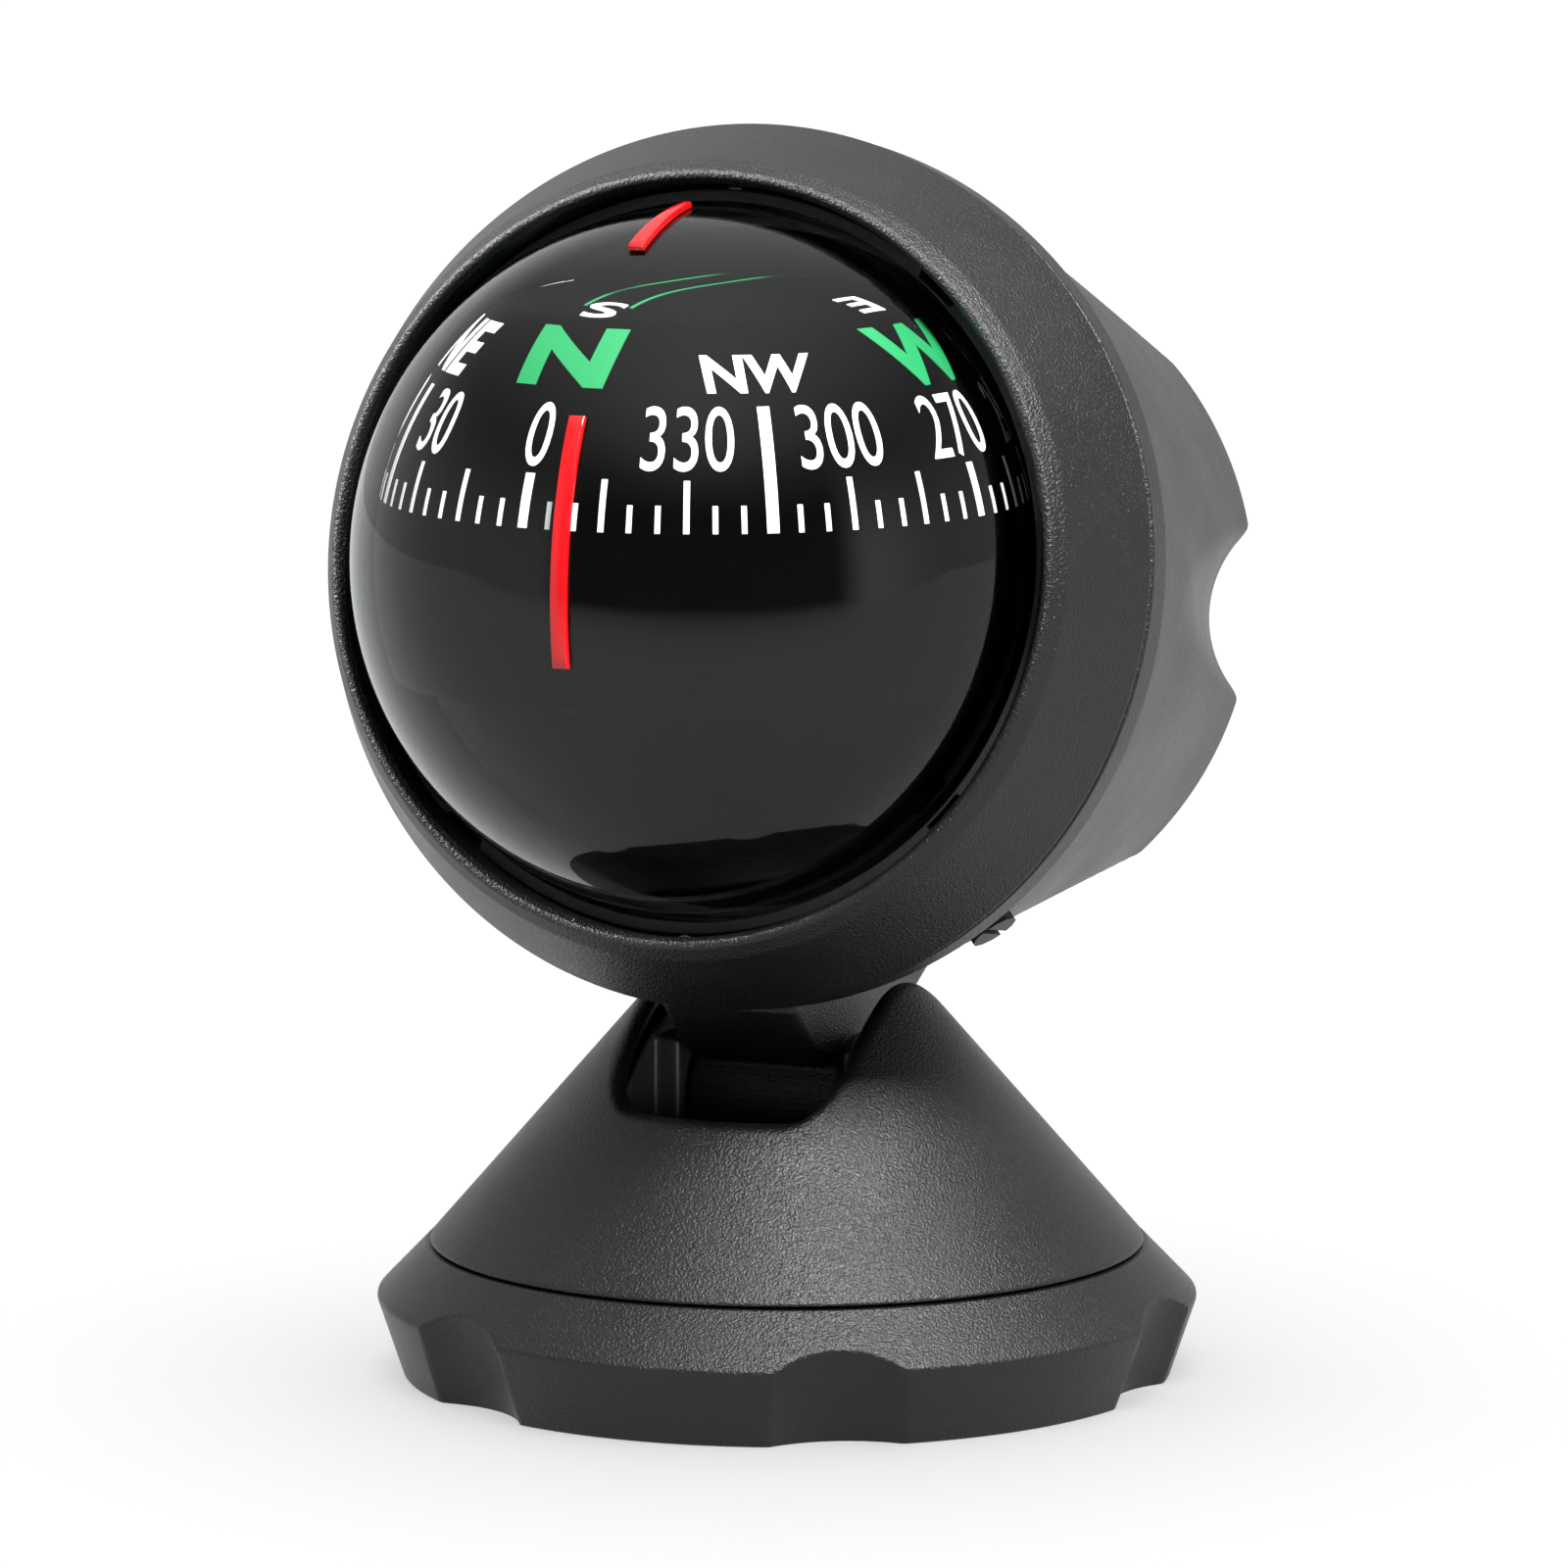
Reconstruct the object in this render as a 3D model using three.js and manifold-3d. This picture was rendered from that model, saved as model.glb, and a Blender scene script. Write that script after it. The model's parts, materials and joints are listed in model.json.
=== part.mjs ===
// Dashboard ball compass on a swivelling, tilting cone stand.
// Millimetres. +Z up, origin at the centre of the base's underside, dial facing -Y.

import * as THREE from 'three';
import { mergeVertices } from 'three/addons/utils/BufferGeometryUtils.js';
import Module from 'manifold-3d';

const wasm = await Module();
wasm.setup();

// ---------------------------------------------------------------- driving dimensions

const GAP = 0.3;                 // running and assembly clearance between pieces
const ROUND = 36;                // sides of a large round piece
const MEDIUM = 24;               // sides of the inner shells
const SMALL = 12;                // sides of a screw or pin
const TINY = 8;                  // sides of a screw hole

const BASE = {
  footRadius: 23.5,
  rimRadius: 25.5,
  rimHeight: 4.82,
  topRadius: 22.15,
  topHeight: 7.95,
  wellRadius: 21.6,
  floorBottom: 1.5,
  floorTop: 3.3,
  padRadius: 20.2,
  hubRadius: 6,
  hubTop: 5,
};
const BASE_SCALLOP = { count: 6, radius: 7.4, footValley: 21.8, lean: 20.6 };

const CONE = {
  lowRadius: 21.75,
  lowHeight: 8.25,
  slope: 1.149,                  // height lost for each millimetre of radius
  apexHeight: 33.32,
  wall: 2,
  skirtOuter: 21.2,
  skirtInner: 19.6,
  skirtBottom: 4.5,
};
const SLOT = { halfWidth: 6.8, sill: 17.4, cornerRadius: 2 };

const HINGE = {
  height: 17,
  barrelRadius: 3.9,
  barrelHalf: 4.9,
  cheekInner: 5.35,
  cheekReach: 4.2,
  cheekTop: 20.8,
  sideWall: 1.2,
  pinRadius: 1.5,
  earRadius: 7.5,
  earAngle: 26,
};
const YOKE = {
  plateRadius: 14.4,
  plateBottom: 10.8,
  plateTop: 12.6,
  hubRadius: 4.2,
  hubBottom: 5.95,
  screwX: 12.2,
};
const WALL_INNER = SLOT.halfWidth + 0.2;           // inner face of the slot's side walls
const WALL_OUTER = WALL_INNER + HINGE.sideWall;
const PIN_SEAT = WALL_OUTER + GAP;                 // where the pin's head and nut sit

const HEAD = { pitch: 9.94, centreY: -12.58, centreZ: 51.19 };
const BEZEL = {
  rimRadius: 26.6,
  rimDepth: -4.45,
  lipRadius: 23.8,
  lipDepth: 2,
  lipFront: 3,
  throatRadius: 22.36,
  throatFront: 2.58,
  throatBack: -0.4,
  boreRadius: 24.25,
  back: -4.9,
};
const HOUSING = {
  front: -5.2,
  flangeRadius: 26.5,
  shoulderDepth: -7.5,
  shoulderRadius: 25.9,
  backRadius: 21.35,
  backCorner: -37.1,
  back: -37.6,
  ledgeDepth: -7.4,
  ledgeRadius: 21.6,
  ledgeBack: -11.5,
  chamberRadius: 22.6,
  chamberTurn: -16,
  chamberBack: -35.6,
  chamberBackRadius: 16.4,
};
const HOUSING_SCALLOP = { count: 6, radius: 7.2, backValley: 18.3, lean: 17.5 };

const DOME = { outer: 21.15, inner: 20.35, flangeRadius: 23.9, flangeFront: -3.6, flangeBack: -4.9 };
const BOWL = {
  outer: 21.35,
  inner: 20.35,
  flangeFront: -5.9,
  flangeBack: -7.1,
  portRadius: 5,
  portBack: -23.5,
  neckRadius: 7.6,
};
const CAPSULE_SCREW = { circle: 22.95, shaft: 0.42, hole: 0.7, head: 0.75, count: 4 };
const LUBBER = { halfWidth: 0.5, inner: 21.38, outer: 21.75, topOffset: -0.6 };
const RING = {
  bore: 21.45,
  sleeve: 22.1,
  front: 1,
  flangeFront: -1.9,
  back: -3.3,
  notchHalfWidth: 1.45,
  notchDepth: 0.6,
  notchAngles: [50, 140, 230, 320],
};
const CUP = { outer: 17.9, inner: 17.3, rimLatitude: -1 };
const NEEDLE = { radius: 0.8, foot: -13.4, shoulder: -3, tip: -0.05 };

const CARD = {
  radius: 19.7,
  wall: 0.6,
  rimLatitude: -20,
  shoulderLatitude: 52.1,
  crownHeight: 16.75,
  crownDrop: [0.08, 0.45],       // fall of the bowed crown at half and three quarters of its radius
  heading: -10,                  // where the zero mark rests, degrees round from the facing direction
};
// The card's webs are level over the magnets, then rise to meet the shell above the tilting cup.
const WEB = { halfWidth: 1.2, hub: 3.2, low: 4.4, high: 9.3, thickness: 0.9, rise: [9, 14.2], end: 16.75 };
const COMPENSATOR = { depth: -9.6, angles: { right: -52, left: -128 }, shaft: 0.8, head: 1.5 };

// ---------------------------------------------------------------- shape helpers

const rad = THREE.MathUtils.degToRad;

// A closed mesh with shared corners and outward faces, ready for joining and cutting.
function solid(shape) {
  if (shape instanceof wasm.Manifold) return shape;
  const bare = shape.clone();
  bare.deleteAttribute('normal');
  bare.deleteAttribute('uv');
  const merged = mergeVertices(bare, 1e-4);
  const corners = merged.index.array;
  const faces = [];
  for (let i = 0; i < corners.length; i += 3) {
    const [a, b, c] = [corners[i], corners[i + 1], corners[i + 2]];
    if (a !== b && b !== c && c !== a) faces.push(a, b, c);
  }
  const points = merged.attributes.position.array;
  if (signedVolume(points, faces) < 0) faces.reverse();
  const mesh = { numProp: 3, vertProperties: new Float32Array(points), triVerts: new Uint32Array(faces) };
  return new wasm.Manifold(new wasm.Mesh(mesh));
}

function signedVolume(points, faces) {
  const corner = (i) => new THREE.Vector3().fromArray(points, faces[i] * 3);
  let volume = 0;
  for (let i = 0; i < faces.length; i += 3) {
    volume += corner(i).dot(corner(i + 1).cross(corner(i + 2))) / 6;
  }
  return volume;
}

const cut = (body, ...tools) => tools.reduce((rest, tool) => rest.subtract(solid(tool)), solid(body));
const join = (body, ...more) => more.reduce((whole, part) => whole.add(solid(part)), solid(body));
const common = (body, ...others) => {
  return others.reduce((rest, other) => rest.intersect(solid(other)), solid(body));
};

// Points of an arc round (x, y), from one angle to another, in degrees.
function arc(x, y, radius, from, to, steps) {
  const points = [];
  for (let i = 0; i <= steps; i += 1) {
    const angle = rad(from + ((to - from) * i) / steps);
    points.push([x + radius * Math.cos(angle), y + radius * Math.sin(angle)]);
  }
  return points;
}

// A profile of [radius, height] points turned about +Z. It closes on the axis or on itself.
function lathe(profile, sides = ROUND) {
  const onAxis = profile[0][0] === 0 && profile.at(-1)[0] === 0;
  const loop = onAxis ? profile : [...profile, profile[0]];
  const points = loop.map(([radius, height]) => new THREE.Vector2(radius, height));
  return new THREE.LatheGeometry(points, sides).rotateX(Math.PI / 2);
}

function washer(inner, outer, bottom, top, sides = ROUND) {
  return lathe([[inner, bottom], [outer, bottom], [outer, top], [inner, top]], sides);
}

function disc(radius, bottom, top, sides = ROUND) {
  return lathe([[0, bottom], [radius, bottom], [radius, top], [0, top]], sides);
}

function outlineShape(outline) {
  return new THREE.Shape(outline.map(([u, v]) => new THREE.Vector2(u, v)));
}

// An outline of [y, z] points, run along X.
function prismAlongX(outline, from, to) {
  const flat = new THREE.ExtrudeGeometry(outlineShape(outline), { depth: to - from, bevelEnabled: false });
  const axes = new THREE.Matrix4().makeBasis(
    new THREE.Vector3(0, 1, 0),
    new THREE.Vector3(0, 0, 1),
    new THREE.Vector3(1, 0, 0),
  );
  return flat.applyMatrix4(axes).translate(from, 0, 0);
}

// An outline of [x, z] points, run along Y.
function prismAlongY(outline, from, to) {
  const flat = new THREE.ExtrudeGeometry(outlineShape(outline), { depth: to - from, bevelEnabled: false });
  return flat.rotateX(Math.PI / 2).translate(0, to, 0);
}

function block(x, y, z) {
  const size = [x, y, z].map(([low, high]) => high - low);
  const middle = [x, y, z].map(([low, high]) => (high + low) / 2);
  return new THREE.BoxGeometry(...size).translate(...middle);
}

// A round bar from one point to another.
function rod(radius, from, to, sides = SMALL) {
  const start = new THREE.Vector3(...from);
  const span = new THREE.Vector3(...to).sub(start);
  const upright = new THREE.Vector3(0, 1, 0);
  const turn = new THREE.Quaternion().setFromUnitVectors(upright, span.clone().normalize());
  const bar = new THREE.CylinderGeometry(radius, radius, span.length(), sides);
  return bar.applyQuaternion(turn).translate(...start.addScaledVector(span, 0.5).toArray());
}

// A screw along Z: a head, and a shank from the middle of the head to the tip.
function screw({ shaft, head, headBottom, headTop, tip }) {
  const middle = (headBottom + headTop) / 2;
  return join(disc(head, headBottom, headTop, SMALL), rod(shaft, [0, 0, middle], [0, 0, tip], TINY));
}

const moved = (shape, x, y, z) => solid(shape).translate([x, y, z]);

// ---------------------------------------------------------------- finishes

const FINISHES = {
  textured_black: { color: 0x2b2b2c, roughness: 0.55, metalness: 0 },
  plain_black: { color: 0x161617, roughness: 0.5, metalness: 0 },
  card_black: { color: 0x070807, roughness: 0.6, metalness: 0 },
  clear: { color: 0xe8efec, roughness: 0.05, metalness: 0, transparent: true, opacity: 0.2 },
  red: { color: 0xe0141a, roughness: 0.25, metalness: 0 },
  rubber: { color: 0x1c1c1c, roughness: 0.9, metalness: 0 },
  foam: { color: 0x202020, roughness: 0.95, metalness: 0 },
  white_nylon: { color: 0xd9d8d2, roughness: 0.5, metalness: 0 },
  steel: { color: 0xa9abad, roughness: 0.35, metalness: 1 },
  brass: { color: 0xc39a4a, roughness: 0.35, metalness: 1 },
  dark_steel: { color: 0x1b1b1d, roughness: 0.6, metalness: 1 },
  dark_brass: { color: 0x15120c, roughness: 0.7, metalness: 1 },
  magnet: { color: 0x19191a, roughness: 0.6, metalness: 1 },
  sapphire: { color: 0xa82040, roughness: 0.1, metalness: 0 },
};

function addPiece(group, name, shape, finish) {
  const { vertProperties, triVerts } = solid(shape).getMesh();
  const geometry = new THREE.BufferGeometry();
  geometry.setAttribute('position', new THREE.BufferAttribute(vertProperties, 3));
  geometry.setIndex(new THREE.BufferAttribute(triVerts, 1));
  geometry.computeVertexNormals();
  const mesh = new THREE.Mesh(geometry, new THREE.MeshStandardMaterial(FINISHES[finish]));
  mesh.name = name;
  group.add(mesh);
}

// ---------------------------------------------------------------- base

// Finger scallops: leaning cylinders that bite into a round wall, one every 360 / count degrees.
// The valley line passes through valleyRadius at the given height and leans outward going along +Z.
function scallops({ count, radius, valleyRadius, height, lean, reach }) {
  const cutters = [];
  const axisRadius = valleyRadius + radius * Math.cos(rad(lean));
  const axisHeight = height - radius * Math.sin(rad(lean));
  for (let i = 0; i < count; i += 1) {
    const cutter = new THREE.CylinderGeometry(radius, radius, 2 * reach, MEDIUM);
    cutter.rotateX(Math.PI / 2);
    cutter.rotateY(rad(lean));
    cutter.translate(axisRadius, 0, axisHeight);
    cutter.rotateZ(rad((i * 360) / count));
    cutters.push(cutter);
  }
  return cutters;
}

function baseRing() {
  const counterbore = 3.5;
  const counterboreTop = 3.7;
  const screwHole = 1.7;
  const body = lathe([
    [BASE.footRadius, 0],
    [BASE.rimRadius, BASE.rimHeight],
    [BASE.topRadius, BASE.topHeight],
    [BASE.wellRadius, BASE.topHeight],
    [BASE.wellRadius, BASE.floorTop],
    [BASE.hubRadius, BASE.floorTop],
    [BASE.hubRadius, BASE.hubTop],
    [screwHole, BASE.hubTop],
    [screwHole, counterboreTop],
    [counterbore, counterboreTop],
    [counterbore, BASE.floorBottom],
    [BASE.padRadius + GAP, BASE.floorBottom],
    [BASE.padRadius + GAP, 0],
  ]);
  const bites = scallops({
    count: BASE_SCALLOP.count,
    radius: BASE_SCALLOP.radius,
    valleyRadius: BASE_SCALLOP.footValley,
    height: 0,
    lean: BASE_SCALLOP.lean,
    reach: 20,
  });
  return cut(body, ...bites);
}

// ---------------------------------------------------------------- pedestal

const coneHeight = (radius) => CONE.apexHeight - CONE.slope * radius;

// Everything under a roof that follows the head's underside through its whole tilt, run along X.
function underHeadRoof(inset) {
  const top = arc(0, HINGE.height, HINGE.earRadius - inset, 90 - HINGE.earAngle, 90 + HINGE.earAngle, 8);
  const eave = 30;
  const drop = eave * Math.tan(rad(HINGE.earAngle));
  const [rightY, rightZ] = top[0];
  const [leftY, leftZ] = top.at(-1);
  const outline = [
    [rightY + eave, 0],
    [rightY + eave, rightZ - drop],
    ...top,
    [leftY - eave, leftZ - drop],
    [leftY - eave, 0],
  ];
  return prismAlongX(outline, -30, 30);
}

function slotWindow() {
  const r = SLOT.cornerRadius;
  const w = SLOT.halfWidth;
  const top = 40;
  const outline = [
    [-w, top],
    ...arc(-w + r, SLOT.sill + r, r, 180, 270, 4),
    ...arc(w - r, SLOT.sill + r, r, 270, 360, 4),
    [w, top],
  ];
  return prismAlongY(outline, -30, 30);
}

// The space inside the cone's wall, closed in by a further clearance.
function coneInside(clearance) {
  const shift = CONE.wall + clearance;
  const tip = 4;
  return lathe([
    [0, 0],
    [CONE.skirtInner - clearance, 0],
    [CONE.skirtInner - clearance, coneHeight(CONE.skirtInner - clearance + shift)],
    [tip, coneHeight(tip + shift)],
    [0, coneHeight(tip + shift)],
  ]);
}

function pedestalCone() {
  const bossRadius = 2.1;
  const bossTop = 17.5;
  const crown = 5;
  const outside = lathe([
    [0, CONE.skirtBottom],
    [CONE.skirtOuter, CONE.skirtBottom],
    [CONE.skirtOuter, CONE.lowHeight],
    [CONE.lowRadius, CONE.lowHeight],
    [crown, coneHeight(crown)],
    [0, coneHeight(crown)],
  ]);
  const shell = cut(common(outside, underHeadRoof(0)), coneInside(0));
  const bosses = [-YOKE.screwX, YOKE.screwX].map((x) => {
    const post = rod(bossRadius, [x, 0, YOKE.plateTop + GAP], [x, 0, bossTop]);
    return common(post, outside);
  });
  const holes = [-YOKE.screwX, YOKE.screwX].map((x) => rod(1, [x, 0, 11], [x, 0, 16], TINY));
  return cut(join(shell, ...bosses), ...holes, slotWindow());
}

// The hinge block inside the cone: a floor plate, two cheeks for the pin and the slot's side walls.
function hingeYoke() {
  const tall = 30;
  const walls = common(
    block([-WALL_OUTER, WALL_OUTER], [-13, 13], [YOKE.plateBottom + 0.5, tall]),
    coneInside(GAP + 0.1),
    underHeadRoof(GAP + 1.5),
  );
  const channel = block([-WALL_INNER, WALL_INNER], [-tall, tall], [YOKE.plateTop, tall]);
  const reach = HINGE.cheekReach;
  const cheeks = [-1, 1].map((side) => {
    const inner = side * HINGE.cheekInner;
    const outer = side * (WALL_INNER + 0.5);
    const lowToHigh = [inner, outer].sort((a, b) => a - b);
    return block(lowToHigh, [-reach, reach], [YOKE.plateBottom + 0.5, HINGE.cheekTop]);
  });
  const plate = disc(YOKE.plateRadius, YOKE.plateBottom, YOKE.plateTop);
  const hub = disc(YOKE.hubRadius, YOKE.hubBottom, YOKE.plateBottom + 0.5, MEDIUM);
  const body = join(cut(walls, channel), ...cheeks, plate, hub);
  return cut(
    body,
    rod(HINGE.pinRadius + GAP, [-12, 0, HINGE.height], [12, 0, HINGE.height]),
    rod(1.5, [0, 0, 5], [0, 0, 10.2]),
    rod(1, [YOKE.screwX, 0, 10], [YOKE.screwX, 0, 13]),
    rod(1, [-YOKE.screwX, 0, 10], [-YOKE.screwX, 0, 13]),
  );
}

function hingeScrew() {
  const blank = screw({
    shaft: HINGE.pinRadius,
    head: 2.2,
    headBottom: PIN_SEAT,
    headTop: PIN_SEAT + 1.2,
    tip: -PIN_SEAT - 1.5,
  });
  return blank.rotate([0, 90, 0]);
}

function hingeNut() {
  const across = 2.6;
  const back = -PIN_SEAT - 1.6;
  const hexagon = disc(across, back, -PIN_SEAT, 6);
  const bore = rod(HINGE.pinRadius + 0.2, [0, 0, back - 1], [0, 0, -PIN_SEAT + 1]);
  return cut(hexagon, bore).rotate([0, 90, 0]);
}

// ---------------------------------------------------------------- neck, in the hinge's own frame

const headTurn = Math.PI / 2 - rad(HEAD.pitch);
const headPlace = [0, HEAD.centreY, HEAD.centreZ - HINGE.height];

// Moves a shape from the head's frame (Z forward, Y up) into the hinge's frame.
function fromHead(geometry) {
  return geometry.rotateX(headTurn).translate(...headPlace);
}

const NECK_SCREWS = { front: -3.2, rear: 6 };
const NECK_HEAD_SEAT = { front: 10.2, rear: 11 };

function neckBracket() {
  const armHalf = 4.4;
  const top = 12;
  const armOutline = [
    [-2.6, 2.2],
    [-6.4, 3.9],
    [-9.3, 6.7],
    [-9.3, top],
    [12.9, top],
    [12.9, 6.45],
    [10.75, 5.4],
    [3.1, 1.4],
  ];
  const barrel = rod(HINGE.barrelRadius, [-HINGE.barrelHalf, 0, 0], [HINGE.barrelHalf, 0, 0], MEDIUM);
  const envelope = fromHead(lathe([
    [0, HOUSING.back],
    [HOUSING.backRadius + GAP, HOUSING.backCorner],
    [HOUSING.shoulderRadius + GAP, HOUSING.shoulderDepth - GAP],
    [HOUSING.flangeRadius + GAP, HOUSING.shoulderDepth - GAP],
    [HOUSING.flangeRadius + GAP, 0],
    [0, 0],
  ]));
  const pocket = 0.8;
  const pocketRadius = 3;
  return cut(
    join(barrel, prismAlongX(armOutline, -armHalf, armHalf)),
    envelope,
    rod(HINGE.pinRadius + GAP, [-8, 0, 0], [8, 0, 0]),
    rod(pocketRadius, [HINGE.barrelHalf - pocket, 0, 0], [8, 0, 0]),
    rod(pocketRadius, [-8, 0, 0], [-HINGE.barrelHalf + pocket, 0, 0]),
    rod(1.1, [0, NECK_SCREWS.front, 3.4], [0, NECK_SCREWS.front, top]),
    rod(1.1, [0, NECK_SCREWS.rear, 4], [0, NECK_SCREWS.rear, top]),
  );
}

function frictionWasher(side) {
  const inner = HINGE.barrelHalf - 0.55;
  const outer = HINGE.barrelHalf + 0.2;
  const ring = solid(washer(HINGE.pinRadius + 0.25, 2.7, inner, outer, SMALL));
  return ring.rotate([0, side * 90, 0]);
}

function neckScrew(place) {
  const seat = NECK_HEAD_SEAT[place];
  const blank = screw({ shaft: 0.8, head: 1.7, headBottom: seat, headTop: seat + 1, tip: 4.4 });
  return blank.translate([0, NECK_SCREWS[place], 0]);
}

// ---------------------------------------------------------------- head, in its own frame

// Screw positions round the head axis: [x, y] for each of the capsule screws.
function capsuleScrewSpots() {
  const spots = [];
  for (let i = 0; i < CAPSULE_SCREW.count; i += 1) {
    const angle = rad((i * 360) / CAPSULE_SCREW.count);
    spots.push([CAPSULE_SCREW.circle * Math.cos(angle), CAPSULE_SCREW.circle * Math.sin(angle)]);
  }
  return spots;
}

function capsuleHoles(from, to) {
  return capsuleScrewSpots().map(([x, y]) => rod(CAPSULE_SCREW.hole, [x, y, from], [x, y, to], TINY));
}

function frontBezel() {
  return lathe([
    [BEZEL.boreRadius, BEZEL.back],
    [BEZEL.rimRadius - 0.4, BEZEL.back],
    [BEZEL.rimRadius, BEZEL.rimDepth],
    [BEZEL.rimRadius - 0.12, BEZEL.rimDepth + 0.6],
    [BEZEL.lipRadius + 0.1, BEZEL.lipDepth - 0.5],
    [BEZEL.lipRadius - 0.2, BEZEL.lipDepth + 0.45],
    [BEZEL.lipRadius - 0.7, BEZEL.lipFront],
    [BEZEL.throatRadius + 0.35, BEZEL.lipFront],
    [BEZEL.throatRadius, BEZEL.throatFront],
    [BEZEL.throatRadius, BEZEL.throatBack],
    [BEZEL.boreRadius - 0.25, BEZEL.throatBack],
  ]);
}

function rearHousing() {
  const ventRadius = 1;
  const body = lathe([
    [0, HOUSING.back],
    [HOUSING.backRadius - 0.45, HOUSING.back],
    [HOUSING.backRadius, HOUSING.backCorner],
    [HOUSING.shoulderRadius, HOUSING.shoulderDepth],
    [HOUSING.flangeRadius, HOUSING.shoulderDepth + 0.3],
    [HOUSING.flangeRadius, HOUSING.front - 0.3],
    [HOUSING.flangeRadius - 0.2, HOUSING.front],
    [BEZEL.boreRadius, HOUSING.front],
    [BEZEL.boreRadius, HOUSING.ledgeDepth],
    [HOUSING.ledgeRadius, HOUSING.ledgeDepth],
    [HOUSING.ledgeRadius, HOUSING.ledgeBack],
    [HOUSING.chamberRadius, HOUSING.ledgeBack - 0.4],
    [HOUSING.chamberRadius, HOUSING.chamberTurn],
    [HOUSING.chamberBackRadius, HOUSING.chamberBack],
    [0, HOUSING.chamberBack],
  ]);
  const bites = scallops({
    count: HOUSING_SCALLOP.count,
    radius: HOUSING_SCALLOP.radius,
    valleyRadius: HOUSING_SCALLOP.backValley,
    height: HOUSING.back,
    lean: HOUSING_SCALLOP.lean,
    reach: 26,
  });
  const neckHoles = Object.values(NECK_SCREWS).map((y) => {
    const hole = rod(1.1, [0, y, 5], [0, y, 14]);
    return toHead(hole);
  });
  const compensatorHoles = Object.values(COMPENSATOR.angles).map((angle) => {
    const hole = rod(COMPENSATOR.shaft + GAP, [20, 0, COMPENSATOR.depth], [30, 0, COMPENSATOR.depth]);
    return hole.rotateZ(rad(angle));
  });
  const vent = rod(ventRadius, [0, 0, HOUSING.back - 1], [0, 0, HOUSING.chamberBack + 1]);
  return cut(body, ...bites, ...neckHoles, ...compensatorHoles, vent, ...capsuleHoles(-11, -6));
}

// Moves a shape from the hinge's frame into the head's frame.
function toHead(geometry) {
  return geometry.translate(...headPlace.map((value) => -value)).rotateX(-headTurn);
}

function retainingRing() {
  const body = lathe([
    [RING.bore, RING.back],
    [DOME.flangeRadius, RING.back],
    [DOME.flangeRadius, RING.flangeFront],
    [RING.sleeve, RING.flangeFront],
    [RING.sleeve, RING.front],
    [RING.bore, RING.front],
  ]);
  const notches = RING.notchAngles.map((angle) => {
    const across = [-RING.notchHalfWidth, RING.notchHalfWidth];
    const along = [RING.front - RING.notchDepth, RING.front + 1];
    return block([RING.bore + 0.2, RING.sleeve + 1], across, along).rotateZ(rad(angle));
  });
  return cut(body, ...notches, ...capsuleHoles(-4, -1));
}

function domeLens() {
  const steps = 7;
  const profile = [
    ...arc(0, 0, DOME.outer, 90, 0, steps),
    [DOME.outer, DOME.flangeFront],
    [DOME.flangeRadius, DOME.flangeFront],
    [DOME.flangeRadius, DOME.flangeBack],
    [DOME.inner, DOME.flangeBack],
    ...arc(0, 0, DOME.inner, 0, 90, steps),
  ];
  profile[0][0] = 0;
  profile.at(-1)[0] = 0;
  return cut(lathe(profile, MEDIUM), ...capsuleHoles(-6, -3));
}

function rearBowl() {
  const latitude = (radius, depth) => -THREE.MathUtils.radToDeg(Math.asin(-depth / radius));
  const rimOuter = latitude(BOWL.outer, BOWL.flangeBack);
  const rimInner = latitude(BOWL.inner, BOWL.flangeFront);
  const boss = { y: 13, radius: 2.6, back: -19.5 };
  const shell = lathe([
    [BOWL.portRadius, BOWL.portBack],
    [BOWL.neckRadius, BOWL.portBack],
    [BOWL.neckRadius, -Math.sqrt(BOWL.outer ** 2 - BOWL.neckRadius ** 2)],
    ...arc(0, 0, BOWL.outer, -65, rimOuter, 5),
    [DOME.flangeRadius, BOWL.flangeBack],
    [DOME.flangeRadius, BOWL.flangeFront],
    ...arc(0, 0, BOWL.inner, rimInner, -70, 6),
    [BOWL.portRadius, -Math.sqrt(BOWL.inner ** 2 - BOWL.portRadius ** 2)],
  ], MEDIUM);
  const fillerBoss = cut(
    rod(boss.radius, [0, boss.y, -14.5], [0, boss.y, boss.back]),
    new THREE.SphereGeometry(BOWL.inner + 0.2, MEDIUM, MEDIUM / 2),
  );
  const fillerHole = rod(1.3, [0, boss.y, -14], [0, boss.y, boss.back - 1]);
  return cut(join(shell, fillerBoss), fillerHole, ...capsuleHoles(-8, -5));
}

function fillerPlug() {
  const blank = screw({ shaft: 1, head: 2.3, headBottom: -21, headTop: -19.8, tip: -16.6 });
  return blank.translate([0, 13, 0]);
}

function expansionDiaphragm() {
  const edge = 7.2;
  const front = BOWL.portBack - GAP;
  return lathe([
    [0, front + 1.4],
    [2.4, front + 1.2],
    [4.2, front],
    [edge, front],
    [edge, front - 0.8],
    [4, front - 0.8],
    [2.2, front + 0.5],
    [0, front + 0.7],
  ], MEDIUM);
}

function diaphragmCover() {
  const front = BOWL.portBack - 1.4;
  return lathe([
    [1, front - 1.6],
    [7.6, front - 1.6],
    [7.6, front],
    [5.5, front],
    [5.5, front - 0.6],
    [1, front - 0.6],
  ], MEDIUM);
}

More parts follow.
